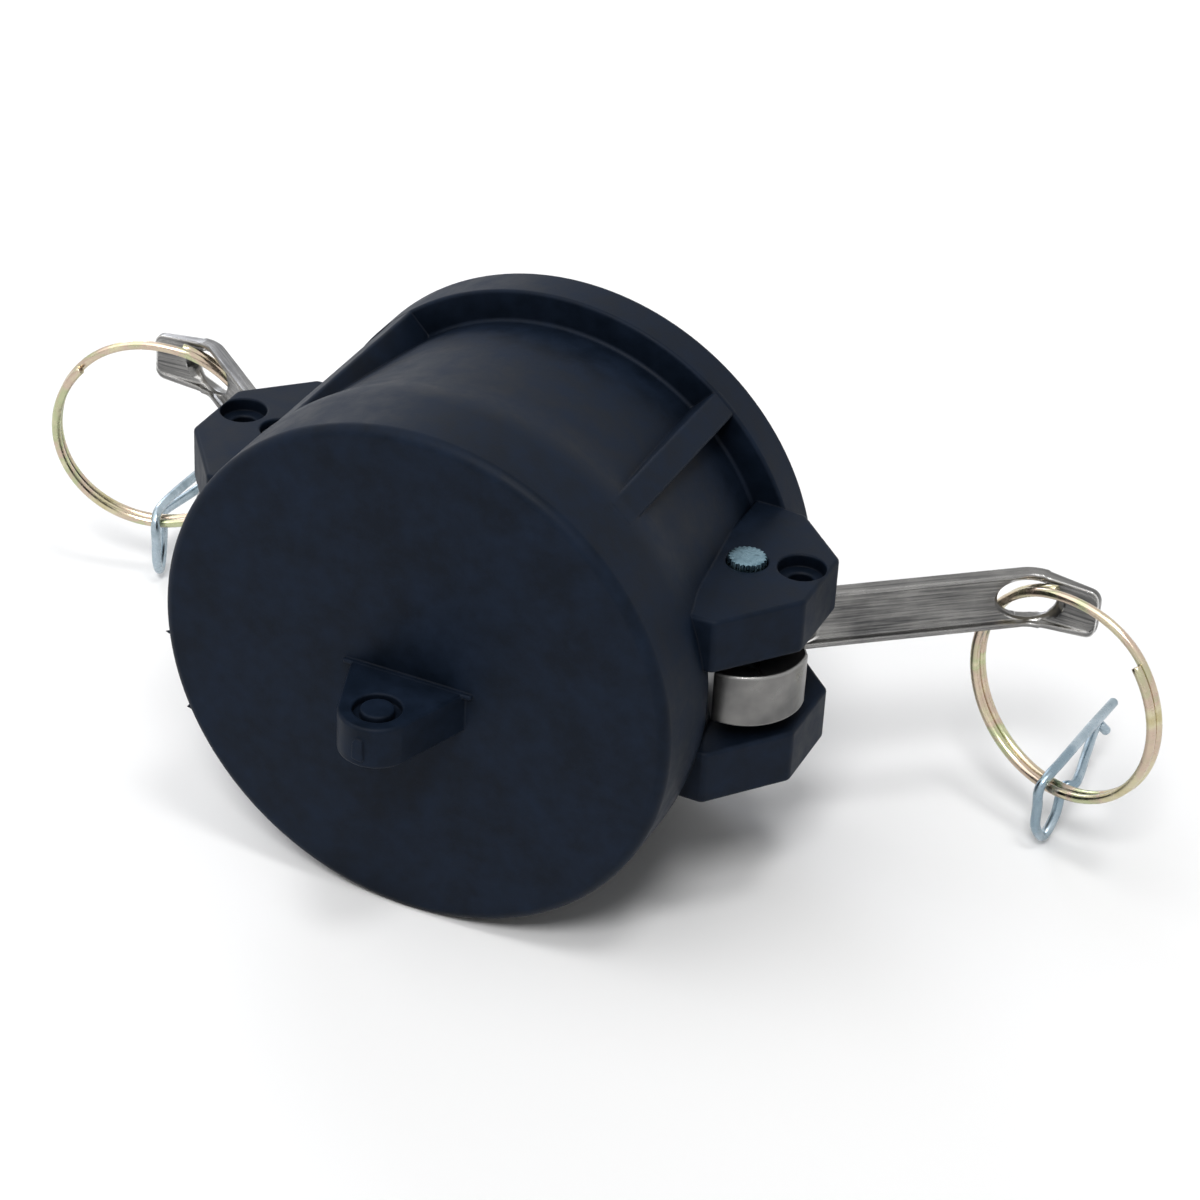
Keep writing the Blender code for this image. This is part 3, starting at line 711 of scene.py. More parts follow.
@dataclass(frozen=True)
class CapSize:
    """The moulding's sizes: radii from its axis, and lengths from its closed face."""

    bore: float = 32.1 * MM
    rim: float = 40.0 * MM
    length: float = 53.4 * MM
    rim_thickness: float = 6.9 * MM
    drum_length: float = 13.0 * MM
    shoulder: float = 6.5 * MM
    waist: float = 35.0 * MM
    taper: float = 3.2 * MM
    face_round: float = 1.6 * MM
    drum_round: float = 22.0 * MM
    waist_round: float = 30.0 * MM
    root_round: float = 0.6 * MM
    edge_round: float = 0.5 * MM
    rim_round: float = 0.9 * MM
    mouth_chamfer: float = 1.2 * MM
    mouth_round: float = 0.4 * MM
    end_wall: float = 7.0 * MM
    groove: float = 1.3 * MM
    groove_round: float = 0.3 * MM
    gasket: float = 6.35 * MM
    gasket_room: float = 0.6 * MM
    rib_width: float = 4.3 * MM
    rib_angle: float = 48.6
    rib_draft: float = 0.3 * MM
    rib_depth: float = 1.6 * MM
    rib_step: float = 0.1 * MM
    rib_tail: float = 2.0 * MM
    overlap: float = 0.8 * MM
    slot: float = 6.8 * MM
    window: float = 14.4 * MM
    window_half: float = 6.4 * MM
    pin_hole: float = 3.0 * MM
    pin_hole_half: float = 20.0 * MM
    pin_from_face: float = 30.5 * MM
    # Each sliver of flash on the front edge: its angle above +X and its width.
    flash: Steps = ((186.5, 0.9 * MM), (204.5, 1.4 * MM))
    flash_root: float = 0.6 * MM
    flash_peak: float = 0.45 * MM
    flash_lean: float = 0.1
    flash_half: float = 0.1 * MM
    flash_from_face: float = 0.9 * MM

    @property
    def rim_back(self) -> float:
        """Where the rim begins."""
        return self.length - self.rim_thickness


@dataclass(frozen=True)
class EarSize:
    """An ear's sizes, from the cap's axis and its closed face."""

    root: float = 32.3 * MM
    flank: float = 40.4 * MM
    nose: float = 49.3 * MM
    back: float = 13.3 * MM
    nose_back: float = 24.6 * MM
    nose_front: float = 37.6 * MM
    top: float = 15.4 * MM
    back_round: float = 1.3 * MM
    nose_round: float = 1.6 * MM
    front_round: float = 1.0 * MM
    edge_round: float = 0.6 * MM
    lock_out: float = 7.5 * MM
    lock_forward: float = 2.2 * MM
    # The holes' steps: radius, and height over the ear's face, in millimetres.
    lock_steps: Steps = ((1.8, -9.5), (1.8, -2.3), (1.9, -2.08), (2.15, -2.0), (3.5, -2.0), (3.5, -0.3),
                         (3.58, -0.1), (3.75, 0.0), (3.75, 1.0))
    pin_steps: Steps = ((3.0, -9.5), (3.0, -0.25), (3.07, -0.07), (3.25, 0.0), (3.25, 1.0))


@dataclass(frozen=True)
class LugSize:
    """The chain lug's sizes, from the middle of the closed face."""

    reach: float = 9.2 * MM
    end: float = 5.6 * MM
    root: float = 9.0 * MM
    tail: float = 2.6 * MM
    top: float = 1.3 * MM
    thick: float = 6.6 * MM
    edge_round: float = 0.5 * MM
    # The ring-shaped recess: radius, and height over the lug's face, in millimetres.
    recess: Steps = ((2.45, -1.2), (3.5, -1.2), (3.5, -0.3), (3.6, -0.1), (3.8, 0.0), (3.8, 0.6), (2.15, 0.6),
                     (2.15, 0.0), (2.35, -0.1), (2.45, -0.3))
    ledge_half: float = 10.2 * MM
    ledge_out: float = 0.7 * MM
    ledge_thick: float = 0.7 * MM
    ledge_proud: float = 0.02 * MM
    ledge_round: float = 0.4 * MM
    # The gate's outline on the nose: corners and their radii, in millimetres.
    gate: tuple[Corner, ...] = ((-0.9, -1.9, 0.3), (0.9, -2.2, 0.3), (0.8, 1.2, 0.3), (-0.35, 1.5, 0.2),
                                (-0.8, 0.6, 0.3))
    gate_root: float = 0.5 * MM
    gate_proud: float = 0.35 * MM
    gate_round: float = 0.1 * MM


@dataclass
class CapBody:
    """The moulded cap with its ribs, ears, windows and lug."""

    size: CapSize
    ears: EarSize
    tab: LugSize
    skin: Material
    face_y: float
    axis_z: float
    pin: Vector

    def place(self) -> Matrix:
        """The move from the cap's own axes to the frame."""
        return Matrix.Translation((0, self.face_y, self.axis_z))

    def moulded(self, name: str, shape: Shape, move: Matrix = Matrix()) -> Piece:
        """Makes an object of the moulding's material from a shape on the cap's own axes."""
        return as_object(name, shape, self.skin, move=self.place() @ move)

    def build(self) -> Piece:
        """Builds the whole moulding as one object and sets it in place of the plain solid.

        Returns:
            The moulding.
        """
        pieces = [self.shell(), self.lug()]
        for side in Side:
            pieces += [self.ear(side, 1), self.ear(side, -1)]
        pieces += [self.rib(angle) for angle in self.rib_angles()]
        pieces += [self.flash(angle, width) for angle, width in self.size.flash]
        body = join("cap_moulding", pieces)
        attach(body, "cap")
        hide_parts("cap_body")
        return body

    def rib_angles(self) -> list[float]:
        """The four ribs' angles round the cap, in degrees above +X."""
        lean = self.size.rib_angle
        return [lean, 180 - lean, 180 + lean, -lean]

    def shell(self) -> Piece:
        """The turned wall: closed face, drum, waist, rim and bore, with the cam windows cut through.

        Returns:
            The wall.
        """
        s = self.size
        groove_end = s.end_wall + s.gasket + s.gasket_room
        groove_wall = s.bore + s.groove
        profile = [(0.0, 0.0, 0.0), (s.rim, 0.0, s.face_round), (s.rim, s.drum_length, s.drum_round),
                   (s.waist + s.taper, s.drum_length + s.shoulder, s.waist_round),
                   (s.waist, s.rim_back, s.root_round), (s.rim, s.rim_back, s.edge_round),
                   (s.rim, s.length, s.rim_round), (s.bore + s.mouth_chamfer, s.length, s.mouth_round),
                   (s.bore, s.length - s.mouth_chamfer, s.edge_round), (s.bore, groove_end, s.groove_round),
                   (groove_wall, groove_end, s.groove_round), (groove_wall, s.end_wall, s.groove_round),
                   (0.0, s.end_wall, 0.0)]
        body = self.moulded("shell", revolve(fillet(profile, 6), 160))
        openings = (("window", s.window, 48, s.window_half), ("pin_hole", s.pin_hole, 36, s.pin_hole_half))
        cutters = []
        for side in Side:
            for name, radius, sides, half in openings:
                outline = circle((side.sign * self.pin.x, self.pin.y), radius, sides)
                cutter = prism(outline, self.axis_z - half, self.axis_z + half)
                cutters.append(as_object(f"{name}_{side.label}", cutter, None))
        carve(body, cutters)
        return body

    def ear(self, side: Side, level: int) -> Piece:
        """One ear plate with its pin hole and its stepped lock hole.

        Args:
            side: The side that the ear is on.
            level: 1 for the upper ear, -1 for the lower one.

        Returns:
            The ear.
        """
        s, e = self.size, self.ears
        corners = [(e.root, e.back, 0.0), (e.flank, e.back, e.back_round),
                   (e.nose, e.nose_back, e.nose_round), (e.nose, e.nose_front, e.nose_round),
                   (e.flank, s.rim_back, e.front_round), (e.root, s.rim_back + s.overlap, 0.0)]
        outline = [Vector((side.sign * p.x, p.y)) for p in fillet(corners, 6, closed=True)]
        low, high = sorted((level * s.slot, level * e.top))
        plate = self.moulded(f"ear_{side.label}_{level}", prism(outline, low, high, e.edge_round, 4))
        pin = (side.sign * self.pin.x, self.pin.y)
        lock = (side.sign * (self.pin.x + e.lock_out), self.pin.y + e.lock_forward)
        holes = (("lock", lock, e.lock_steps), ("pin", pin, e.pin_steps))
        carve(plate, [self.drill(name, at, level, steps) for name, at, steps in holes])
        return plate

    def drill(self, name: str, at: tuple[float, float], level: int, steps: Steps) -> Piece:
        """A stepped upright cutter in an ear.

        Args:
            name: The hole's name.
            at: The hole's middle in X and Y.
            level: 1 for the upper ear, -1 for the lower one.
            steps: Radius, and height over the ear's face, in millimetres.

        Returns:
            The cutter.
        """
        top = self.axis_z + level * self.ears.top
        rings = [[(at[0] + r * MM * math.cos(t), at[1] + r * MM * math.sin(t), top + level * h * MM)
                  for t in turns(48)] for r, h in steps]
        return as_object(name + "_drill", plug(rings), None)

    def rib(self, angle: float) -> Piece:
        """One rib between drum and rim, all but flush with both.

        Args:
            angle: The rib's angle round the cap, in degrees above +X.

        Returns:
            The rib.
        """
        s = self.size
        low, high = s.waist - s.rib_depth, s.rim - s.rib_step
        half = s.rib_width / 2
        foot = half + s.rib_draft
        section = fillet([(low, -foot, 0.0), (high, -half, s.edge_round), (high, half, s.edge_round),
                          (low, foot, 0.0)], 4)
        turn = Matrix.Rotation(math.radians(-angle), 3, "Y")
        ends = (s.drum_length - s.rib_tail, s.rim_back + s.overlap)
        stations = [[turn @ Vector((p.x, y, p.y)) for p in section] for y in ends]
        return self.moulded("rib", sweep(stations, [0.0, ends[1] - ends[0]]))

    def lug(self) -> Piece:
        """The chain lug: a rounded tab with a recess on both sides, a ledge along its root and its gate.

        Returns:
            The lug.
        """
        t = self.tab
        rise = math.atan2(t.root - t.end, t.reach)
        spread = t.root + t.tail * math.tan(rise)
        corners = [(spread, t.tail, 0.0), (-spread, t.tail, 0.0)]
        corners += arc((0.0, -t.reach), t.end, 180 + math.degrees(rise), 360 - math.degrees(rise), 28)
        under = t.top - t.thick
        tab = self.moulded("tab", prism([Vector(c[:2]) for c in corners], under, t.top, t.edge_round))
        for face_z, level in ((t.top, 1), (under, -1)):
            rings = [[(r * MM * math.cos(a), r * MM * math.sin(a) - t.reach, face_z + level * h * MM)
                      for r, h in t.recess] for a in turns(48)]
            carve(tab, [as_object("recess", plug(rings, looped=True), None, move=self.place())])
        front = -t.ledge_out
        ledge = fillet([(-t.ledge_half, t.tail, 0.0), (-t.ledge_half, front, t.ledge_round),
                        (t.ledge_half, front, t.ledge_round), (t.ledge_half, t.tail, 0.0)], 3)
        bar = prism(ledge, t.top - t.ledge_thick, t.top + t.ledge_proud, t.ledge_round / 2, 2)
        return join("lug", [tab, self.moulded("ledge", bar), self.gate()])

    def gate(self) -> Piece:
        """What is left of the gate, sheared off the lug's nose: it stands a little proud.

        Returns:
            The gate's stub.
        """
        t = self.tab
        outline = fillet([(x * MM, y * MM, radius * MM) for x, y, radius in t.gate], 2, closed=True)
        nose = Matrix.Translation((0.0, -t.reach - t.end, t.top - t.thick / 2))
        stub = prism(outline, -t.gate_root, t.gate_proud, t.gate_round, 2)
        return self.moulded("gate", stub, nose @ Matrix.Rotation(math.pi / 2, 4, "X"))

    def flash(self, angle: float, width: float) -> Piece:
        """A sliver of flash on the front edge, where the mould parts.

        Args:
            angle: Its angle round the cap, in degrees above +X.
            width: Its width at the root.

        Returns:
            The sliver.
        """
        s = self.size
        outline = [Vector((-width / 2, -s.flash_root)), Vector((width / 2, -s.flash_root)),
                   Vector((width * s.flash_lean, s.flash_peak))]
        turn = math.radians(angle)
        at = Vector((s.rim * math.cos(turn), s.flash_from_face, s.rim * math.sin(turn)))
        out = Matrix.Rotation(math.pi / 2 - turn, 4, "Y") @ Matrix.Rotation(math.pi / 2, 4, "X")
        sliver = prism(outline, -s.flash_half, s.flash_half)
        return self.moulded("flash", sliver, Matrix.Translation(at) @ out)


@dataclass
class Gasket:
    """The flat sealing ring at the bottom of the bore."""

    size: CapSize
    face_y: float
    axis_z: float
    inner: float = 25.4 * MM
    play: float = 0.3 * MM
    edge_round: float = 0.5 * MM

    def build(self) -> Piece:
        """Builds the ring with slightly rounded edges.

        Returns:
            The ring.
        """
        s = self.size
        outer = s.bore + s.groove - self.play
        near = s.end_wall + self.play
        far = near + s.gasket
        square = [(self.inner, near), (outer, near), (outer, far), (self.inner, far)]
        profile = fillet([(*corner, self.edge_round) for corner in square], 4, closed=True)
        profile.append(profile[0])
        ring = as_object("sealing_ring", revolve(profile, 128), RUBBER.material(),
                         move=Matrix.Translation((0, self.face_y, self.axis_z)))
        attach(ring, "cap")
        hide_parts("gasket")
        return ring


@dataclass
class CamPin:
    """A pressed pin with a straight knurl at both ends."""

    side: Side
    pin: Vector
    axis_z: float
    head: float
    foot: float = 14.4 * MM
    radius: float = 2.52 * MM
    teeth: int = 22
    points_per_tooth: int = 6
    depth: float = 0.3 * MM
    # Height over the foot or the head in millimetres, and shares of the radius and of the knurl's depth.
    foot_steps: tuple[Corner, ...] = ((0.0, 0.9, 1.0), (0.4, 1.0, 1.0), (5.0, 1.0, 1.0), (5.5, 0.96, 0.0))
    head_steps: tuple[Corner, ...] = ((-5.5, 0.96, 0.0), (-5.0, 1.0, 1.0), (-0.12, 1.0, 1.0),
                                      (0.0, 0.97, 0.9), (0.02, 0.9, 0.1), (0.05, 0.6, 0.0))

    def build(self, metal: Material) -> Piece:
        """Builds the pin with a chamfered foot and a slightly domed head.

        Args:
            metal: Its material.

        Returns:
            The pin.
        """
        levels = [(self.axis_z - self.foot + step[0] * MM, *step[1:]) for step in self.foot_steps]
        levels += [(self.axis_z + self.head + step[0] * MM, *step[1:]) for step in self.head_steps]
        stations = []
        for height, share, knurl in levels:
            section = []
            for turn in turns(self.teeth * self.points_per_tooth):
                tooth = (1 - abs((self.teeth * turn / math.pi) % 2 - 1)) * self.depth * knurl
                reach = self.radius * share + tooth
                section.append(Vector((self.side.sign * self.pin.x + reach * math.cos(turn),
                                       self.pin.y + reach * math.sin(turn), height)))
            stations.append(section)
        shape = sweep(stations, [height for height, _, _ in levels])
        made = as_object("cross_pin_" + self.side.label, shape, metal, 40)
        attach(made, "cap")
        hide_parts("cam_pin_" + self.side.label)
        return made


@dataclass(frozen=True)
class ArmSize:
    """The cam arm's sizes, from its pin, as the right arm lies open."""

    half_width: float = 4.7 * MM
    head_half: float = 4.2 * MM
    heel: float = 5.3 * MM
    lobe: float = 13.2 * MM
    nose: float = 9.2 * MM
    nose_outboard: float = 2.0 * MM
    nose_round: float = 0.9 * MM
    edge_round: float = 0.45 * MM
    angle: float = 39.5
    offset: float = 5.4 * MM
    depth: float = 2.6 * MM
    web: float = 1.3 * MM
    flange: float = 0.8 * MM
    splay: float = 0.25 * MM
    back_round: float = 0.55 * MM
    lip_round: float = 0.45 * MM
    toe_round: float = 0.7 * MM
    dish: float = 0.25 * MM
    dish_round: float = 8.0 * MM
    shallowest: float = 0.06 * MM
    start: float = 8.0 * MM
    length: float = 48.0 * MM
    bend_reach: float = 2.6 * MM
    bend_thinning: float = 0.2 * MM
    tip_angle: float = -5.0
    tip_length: float = 10.9 * MM
    tip_half: float = 3.9 * MM
    tip_depth: float = 1.35 * MM
    tip_round: float = 1.5 * MM
    hole_from_bend: float = 1.2 * MM
    hole_half_length: float = 4.5 * MM
    hole_half_height: float = 3.25 * MM
    hole_drop: float = 0.2 * MM
    # The hole's wall and its collar: height in front of the web's middle, and growth, in millimetres.
    hole_steps: Steps = ((-7.0, 0.0), (0.85, 0.0), (1.1, 0.1), (1.3, 0.3), (2.7, 0.75), (7.0, 0.9))
    collar: float = 0.6 * MM
    collar_steps: Steps = ((0.35, 0.25), (0.95, 0.15), (1.2, 0.0), (1.35, -0.2))
    eye: float = 2.62 * MM
    eye_drill: float = 14.0 * MM

    @property
    def back(self) -> float:
        """How far the handle's back lies off the line through the pin."""
        return self.offset + self.depth


@dataclass
class CamArm:
    """A cam arm: cam head, channel handle and bent tip with the ring's hole."""

    size: ArmSize
    side: Side
    pivot: Vector

    def handle_point(self, along: float, offset: float) -> Vector:
        """A point along the handle from the pin, and off it towards the back.

        Args:
            along: Distance along the handle from the pin.
            offset: Distance off that line, towards the back.

        Returns:
            The point, from the pin.
        """
        turn = math.radians(self.size.angle)
        u = Vector((math.cos(turn), math.sin(turn)))
        return u * along + Vector((-u.y, u.x)) * offset

    def tip_point(self, along: float) -> Vector:
        """A point along the tip's back face from the bend.

        Args:
            along: Distance from the bend.

        Returns:
            The point, from the pin.
        """
        turn = math.radians(self.size.tip_angle)
        bend = self.handle_point(self.size.length, self.size.back)
        return bend + Vector((math.cos(turn), math.sin(turn))) * along

    def section(self, half: float, depth: float) -> list[Vector]:
        """The channel's section, flanges forward.

        Args:
            half: Half of its width.
            depth: Its depth over the flanges.

        Returns:
            Points as height, and depth under the back face.
        """
        s = self.size
        depth = max(depth, s.web + s.shallowest)
        lip = min(s.lip_round, (depth - s.web) * 0.45)
        toe = min(s.toe_round, (depth - s.web) * 0.5)
        inner = half - s.flange
        corners = [(-half, 0.0, s.back_round), (half, 0.0, s.back_round), (half, depth, lip),
                   (inner, depth, lip), (inner - s.splay, s.web, toe), (0.0, s.web - s.dish, s.dish_round),
                   (-inner + s.splay, s.web, toe), (-inner, depth, lip), (-half, depth, lip)]
        return fillet(corners, 4, closed=True)

    def build(self, metal: Material) -> Piece:
        """Builds the arm, mirrored on the left side.

        Args:
            metal: Its material.

        Returns:
            The arm.
        """
        s = self.size
        strip = self.strip(metal)
        head = as_object("head", self.head(), metal)
        bore = bmesh.new()
        bmesh.ops.create_cone(bore, cap_ends=True, segments=40, radius1=s.eye, radius2=s.eye,
                              depth=s.eye_drill)
        carve(head, [as_object("eye", bore, None)])
        flip = Matrix.Translation(self.pivot) @ Matrix.Diagonal((self.side.sign, 1, 1, 1))
        arm = join("cam_lever_" + self.side.label, [strip, head], 38, flip)
        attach(arm, "arm_" + self.side.label)
        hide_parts("cam_arm_" + self.side.label)
        return arm

    def spots(self) -> list[tuple[Vector, float, float, float]]:
        """Reads the handle, the bend and the tip at the places where the channel's section is set.

        Returns:
            For each place, a point on the back face, the angle there, half of the width and the depth.
        """
        s = self.size
        spots = []
        handle_steps, bend_steps, tip_steps = 20, 12, 16
        end = s.length - s.bend_reach
        for i in range(handle_steps + 1):
            along = s.start + (end - s.start) * i / handle_steps
            spots.append((self.handle_point(along, s.back), s.angle, s.half_width, s.depth))
        before, corner = self.handle_point(end, s.back), self.tip_point(0.0)
        after = self.tip_point(s.bend_reach)
        for i in range(1, bend_steps):
            t = i / bend_steps
            point = before * (1 - t) ** 2 + corner * 2 * t * (1 - t) + after * t ** 2
            spots.append((point, s.angle + (s.tip_angle - s.angle) * t, s.half_width,
                          s.depth - s.bend_thinning * t))
        # The places close up towards the tip's end, whose corners are rounded.
        crowding = 1.8
        for i in range(tip_steps + 1):
            along = s.bend_reach + (s.tip_length - s.bend_reach) * (1 - (1 - i / tip_steps) ** crowding)
            left = min(1.0, (s.tip_length - along) / s.tip_round)
            cut = s.tip_round * (1 - math.sqrt(max(0.0, 1 - (1 - left) ** 2)))
            half = s.half_width + (s.tip_half - s.half_width) * along / s.tip_length
            depth = s.depth + (s.tip_depth - s.depth) * along / s.tip_length
            spots.append((self.tip_point(along), s.tip_angle, half - cut, depth))
        return spots

    def strip(self, metal: Material) -> Piece:
        """The handle and tip: the channel swept round the bend, with the ring's hole cut through.

        Args:
            metal: Its material.

        Returns:
            The strip.
        """
        s = self.size
        spots = self.spots()
        stations, lengths, travelled = [], [], 0.0
        for i, (point, angle, half, depth) in enumerate(spots):
            turn = math.radians(angle)
            forward = Vector((math.sin(turn), -math.cos(turn)))
            if i:
                travelled += (point - spots[i - 1][0]).length
            stations.append([Vector((*(point + forward * p.y), p.x)) for p in self.section(half, depth)])
            lengths.append(travelled)
        strip = as_object("strip", sweep(stations, lengths), metal)
        # The hole looks along a line between the handle's square and the tip's.
        lean = math.radians((s.angle * 2 + s.tip_angle) / 3)
        middle = self.handle_point(s.length - s.hole_from_bend, s.back - s.web / 2)
        place = Matrix.Translation((middle.x, middle.y, -s.hole_drop))
        place = place @ Matrix.Rotation(lean, 4, "Z") @ Matrix.Rotation(math.pi / 2, 4, "X")
        carve(strip, [as_object("collar", self.oval(s.collar, s.collar_steps), metal, move=place)], "UNION")
        carve(strip, [as_object("ring_hole", self.oval(0.0, s.hole_steps), None, move=place)])
        return strip

    def oval(self, grow: float, steps: Steps) -> Shape:
        """An oval plug round the ring's hole.

        Args:
            grow: How far it stands outside the hole's outline.
            steps: Height in front of the web's middle and further growth, both in millimetres.

        Returns:
            The closed plug, standing along Z.
        """
        rings = []
        for height, more in steps:
            length = self.size.hole_half_length + grow + more * MM
            tall = self.size.hole_half_height + grow + more * MM
            rings.append([(length * math.cos(t), tall * math.sin(t), height * MM) for t in turns(56)])
        return plug(rings)

    def head(self) -> Shape:
        """The cam head: heel, lobe and the root of the handle.

        Returns:
            The head, with the pin's axis along Z.
        """
        s = self.size
        drop = math.sqrt((s.lobe - s.nose) ** 2 - s.nose_outboard ** 2)
        corners = arc((s.nose_outboard, -drop), s.nose, -95, 10, 40)
        corners[0] = (*corners[0][:2], s.nose_round)
        # The root lies just inside the handle: along it, off it towards the back, and each corner's radius.
        sunk = s.back - 0.05 * MM
        root = ((9.0 * MM, s.offset, 1.0 * MM), (11.5 * MM, s.offset + 0.3 * MM, 0.8 * MM),
                (17.0 * MM, sunk, 0.0), (4.4 * MM, sunk, 1.5 * MM))
        corners += [(*self.handle_point(along, offset), radius) for along, offset, radius in root]
        corners += arc((0.0, 0.0), s.heel, 150, 228, 14)
        plate = prism(fillet(corners, 5, closed=True), -s.head_half, s.head_half, s.edge_round)
        # The rounded rims leave slivers that the eye's cut would trip over.
        bmesh.ops.remove_doubles(plate, verts=plate.verts, dist=0.02 * MM)
        bmesh.ops.dissolve_degenerate(plate, edges=plate.edges, dist=0.01 * MM)
        return plate


@dataclass(frozen=True)
class RingSize:
    """The split ring's sizes, and how it lies in the arm's hole."""

    mean: float = 16.6 * MM
    wire: float = 0.74 * MM
    yaw: float = -20.0
    swing: float = 50.0
    jog_start: float = 273.0
    jog: float = 62.0
    clip_turn: float = 140.0
    points_per_turn: int = 96


@dataclass
class PullRing:
    """A split ring of two turns."""

    size: RingSize
    side: Side
    home: Vector

    def axes(self) -> tuple[Vector, Vector, Vector]:
        """The ring's own directions, on the right side.

        Returns:
            Across the ring's plane, from the hole to its middle, and along the wire in the hole.
        """
        yaw, swing = math.radians(self.size.yaw), math.radians(self.size.swing)
        normal = Vector((math.sin(yaw), -math.cos(yaw), 0.0))
        inward = Vector((math.cos(yaw) * math.cos(swing), math.sin(yaw) * math.cos(swing), -math.sin(swing)))
        return normal, inward, normal.cross(inward)

    def point(self, turn: float, offset: float) -> Vector:
        """A point round the ring from the hole, in degrees, and off its plane.

        Args:
            turn: Angle round the ring from the hole, in degrees.
            offset: Distance off the ring's plane.

        Returns:
            The point, from the wire in the hole.
        """
        normal, inward, along = self.axes()
        angle = math.radians(turn)
        mean = self.size.mean
        return inward * (mean - mean * math.cos(angle)) - along * mean * math.sin(angle) + normal * offset

    def build(self, metal: Material) -> Piece:
        """Builds the wire: one turn behind, the step, and one turn in front.

        Args:
            metal: Its material.

        Returns:
            The ring.
        """
        s = self.size
        total = 720.0 - s.jog
        count = round(s.points_per_turn * total / 360)
        path = []
        for i in range(count + 1):
            turned = s.jog + total * i / count
            share = min(max((turned - 360) / s.jog, 0.0), 1.0)
            # The two turns lie wire on wire, and the step between them starts and ends softly.
            offset = 2 * s.wire * (share * share * (3 - 2 * share) - 0.5)
            spot = self.point(s.jog_start + turned, offset)
            path.append(self.home + Vector((self.side.sign * spot.x, spot.y, spot.z)))
        ring = as_object("split_ring_" + self.side.label, tube(path, s.wire, 18, 0.2), metal, 50)
        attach(ring, "ring_" + self.side.label)
        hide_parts("pull_ring_" + self.side.label)
        return ring


@dataclass(frozen=True)
class ClipSize:
    """The safety clip's sizes, from the ring's wire inside its eye, on the right side."""

    wire: float = 0.78 * MM
    eye: float = 2.01 * MM
    drop: float = 9.3 * MM
    half_gap: float = 2.9 * MM
    long_end: Vector = Vector((1.5 * MM, 26.0 * MM, 0.4 * MM))
    short_bend: Vector = Vector((2.45 * MM, 5.0 * MM, -1.8 * MM))
    short_end: Vector = Vector((0.35 * MM, 21.5 * MM, -1.7 * MM))
    hook: Vector = Vector((1.6 * MM, 1.2 * MM, -1.6 * MM))
    hook_rise: Vector = Vector((0.0, 0.0, 0.25 * MM))
    step: float = 0.45 * MM


@dataclass
class SafetyClip:
    """A bent wire clip with its eye round the ring."""

    size: ClipSize
    ring: PullRing

    def build(self, metal: Material) -> Piece:
        """Builds the clip's wire from the long leg's end, round the eye, to the hook.

        Args:
            metal: Its material.

        Returns:
            The clip.
        """
        s = self.size
        normal, inward, _ = self.ring.axes()
        middle = self.ring.point(self.ring.size.clip_turn, 0.0)
        outward = (middle - inward * self.ring.size.mean).normalized()
        over = -outward * s.eye
        front = normal * s.half_gap
        knee = outward * (s.drop - s.half_gap)
        toe = outward * s.drop
        points = [s.long_end, s.long_end * 0.55 + over * 0.7, s.long_end * 0.16 + over * 1.15]
        points += [over * 1.15 + front * 0.35, over * 0.35 + front * 1.05, knee * 0.4 + front]
        points += [knee + front * 0.92, toe + front * 0.1, knee - front * 0.75, knee * 0.3 - front * 1.1]
        points += [s.short_bend, s.short_bend * 0.5 + s.short_end * 0.5]
        points += [s.short_end, s.short_end + s.hook * 0.55 + s.hook_rise, s.short_end + s.hook]
        side = self.ring.side
        path = [self.ring.home + Vector((side.sign * (middle.x + p.x), middle.y + p.y, middle.z + p.z))
                for p in smooth(points, s.step)]
        clip = as_object("wire_clip_" + side.label, tube(path, s.wire, 16, 0.5), metal, 50)
        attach(clip, "clip_" + side.label)
        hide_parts("safety_clip_" + side.label)
        return clip


@dataclass(frozen=True)
class Lamp:
    """A soft area light."""

    name: str
    place: tuple[float, float, float]
    size: float
    power: float
    colour: str


@dataclass(frozen=True)
class Overhead:
    """A wide light far above the table, with the direction that it comes from."""

    name: str
    towards: tuple[float, float, float]
    width: float
    power: float


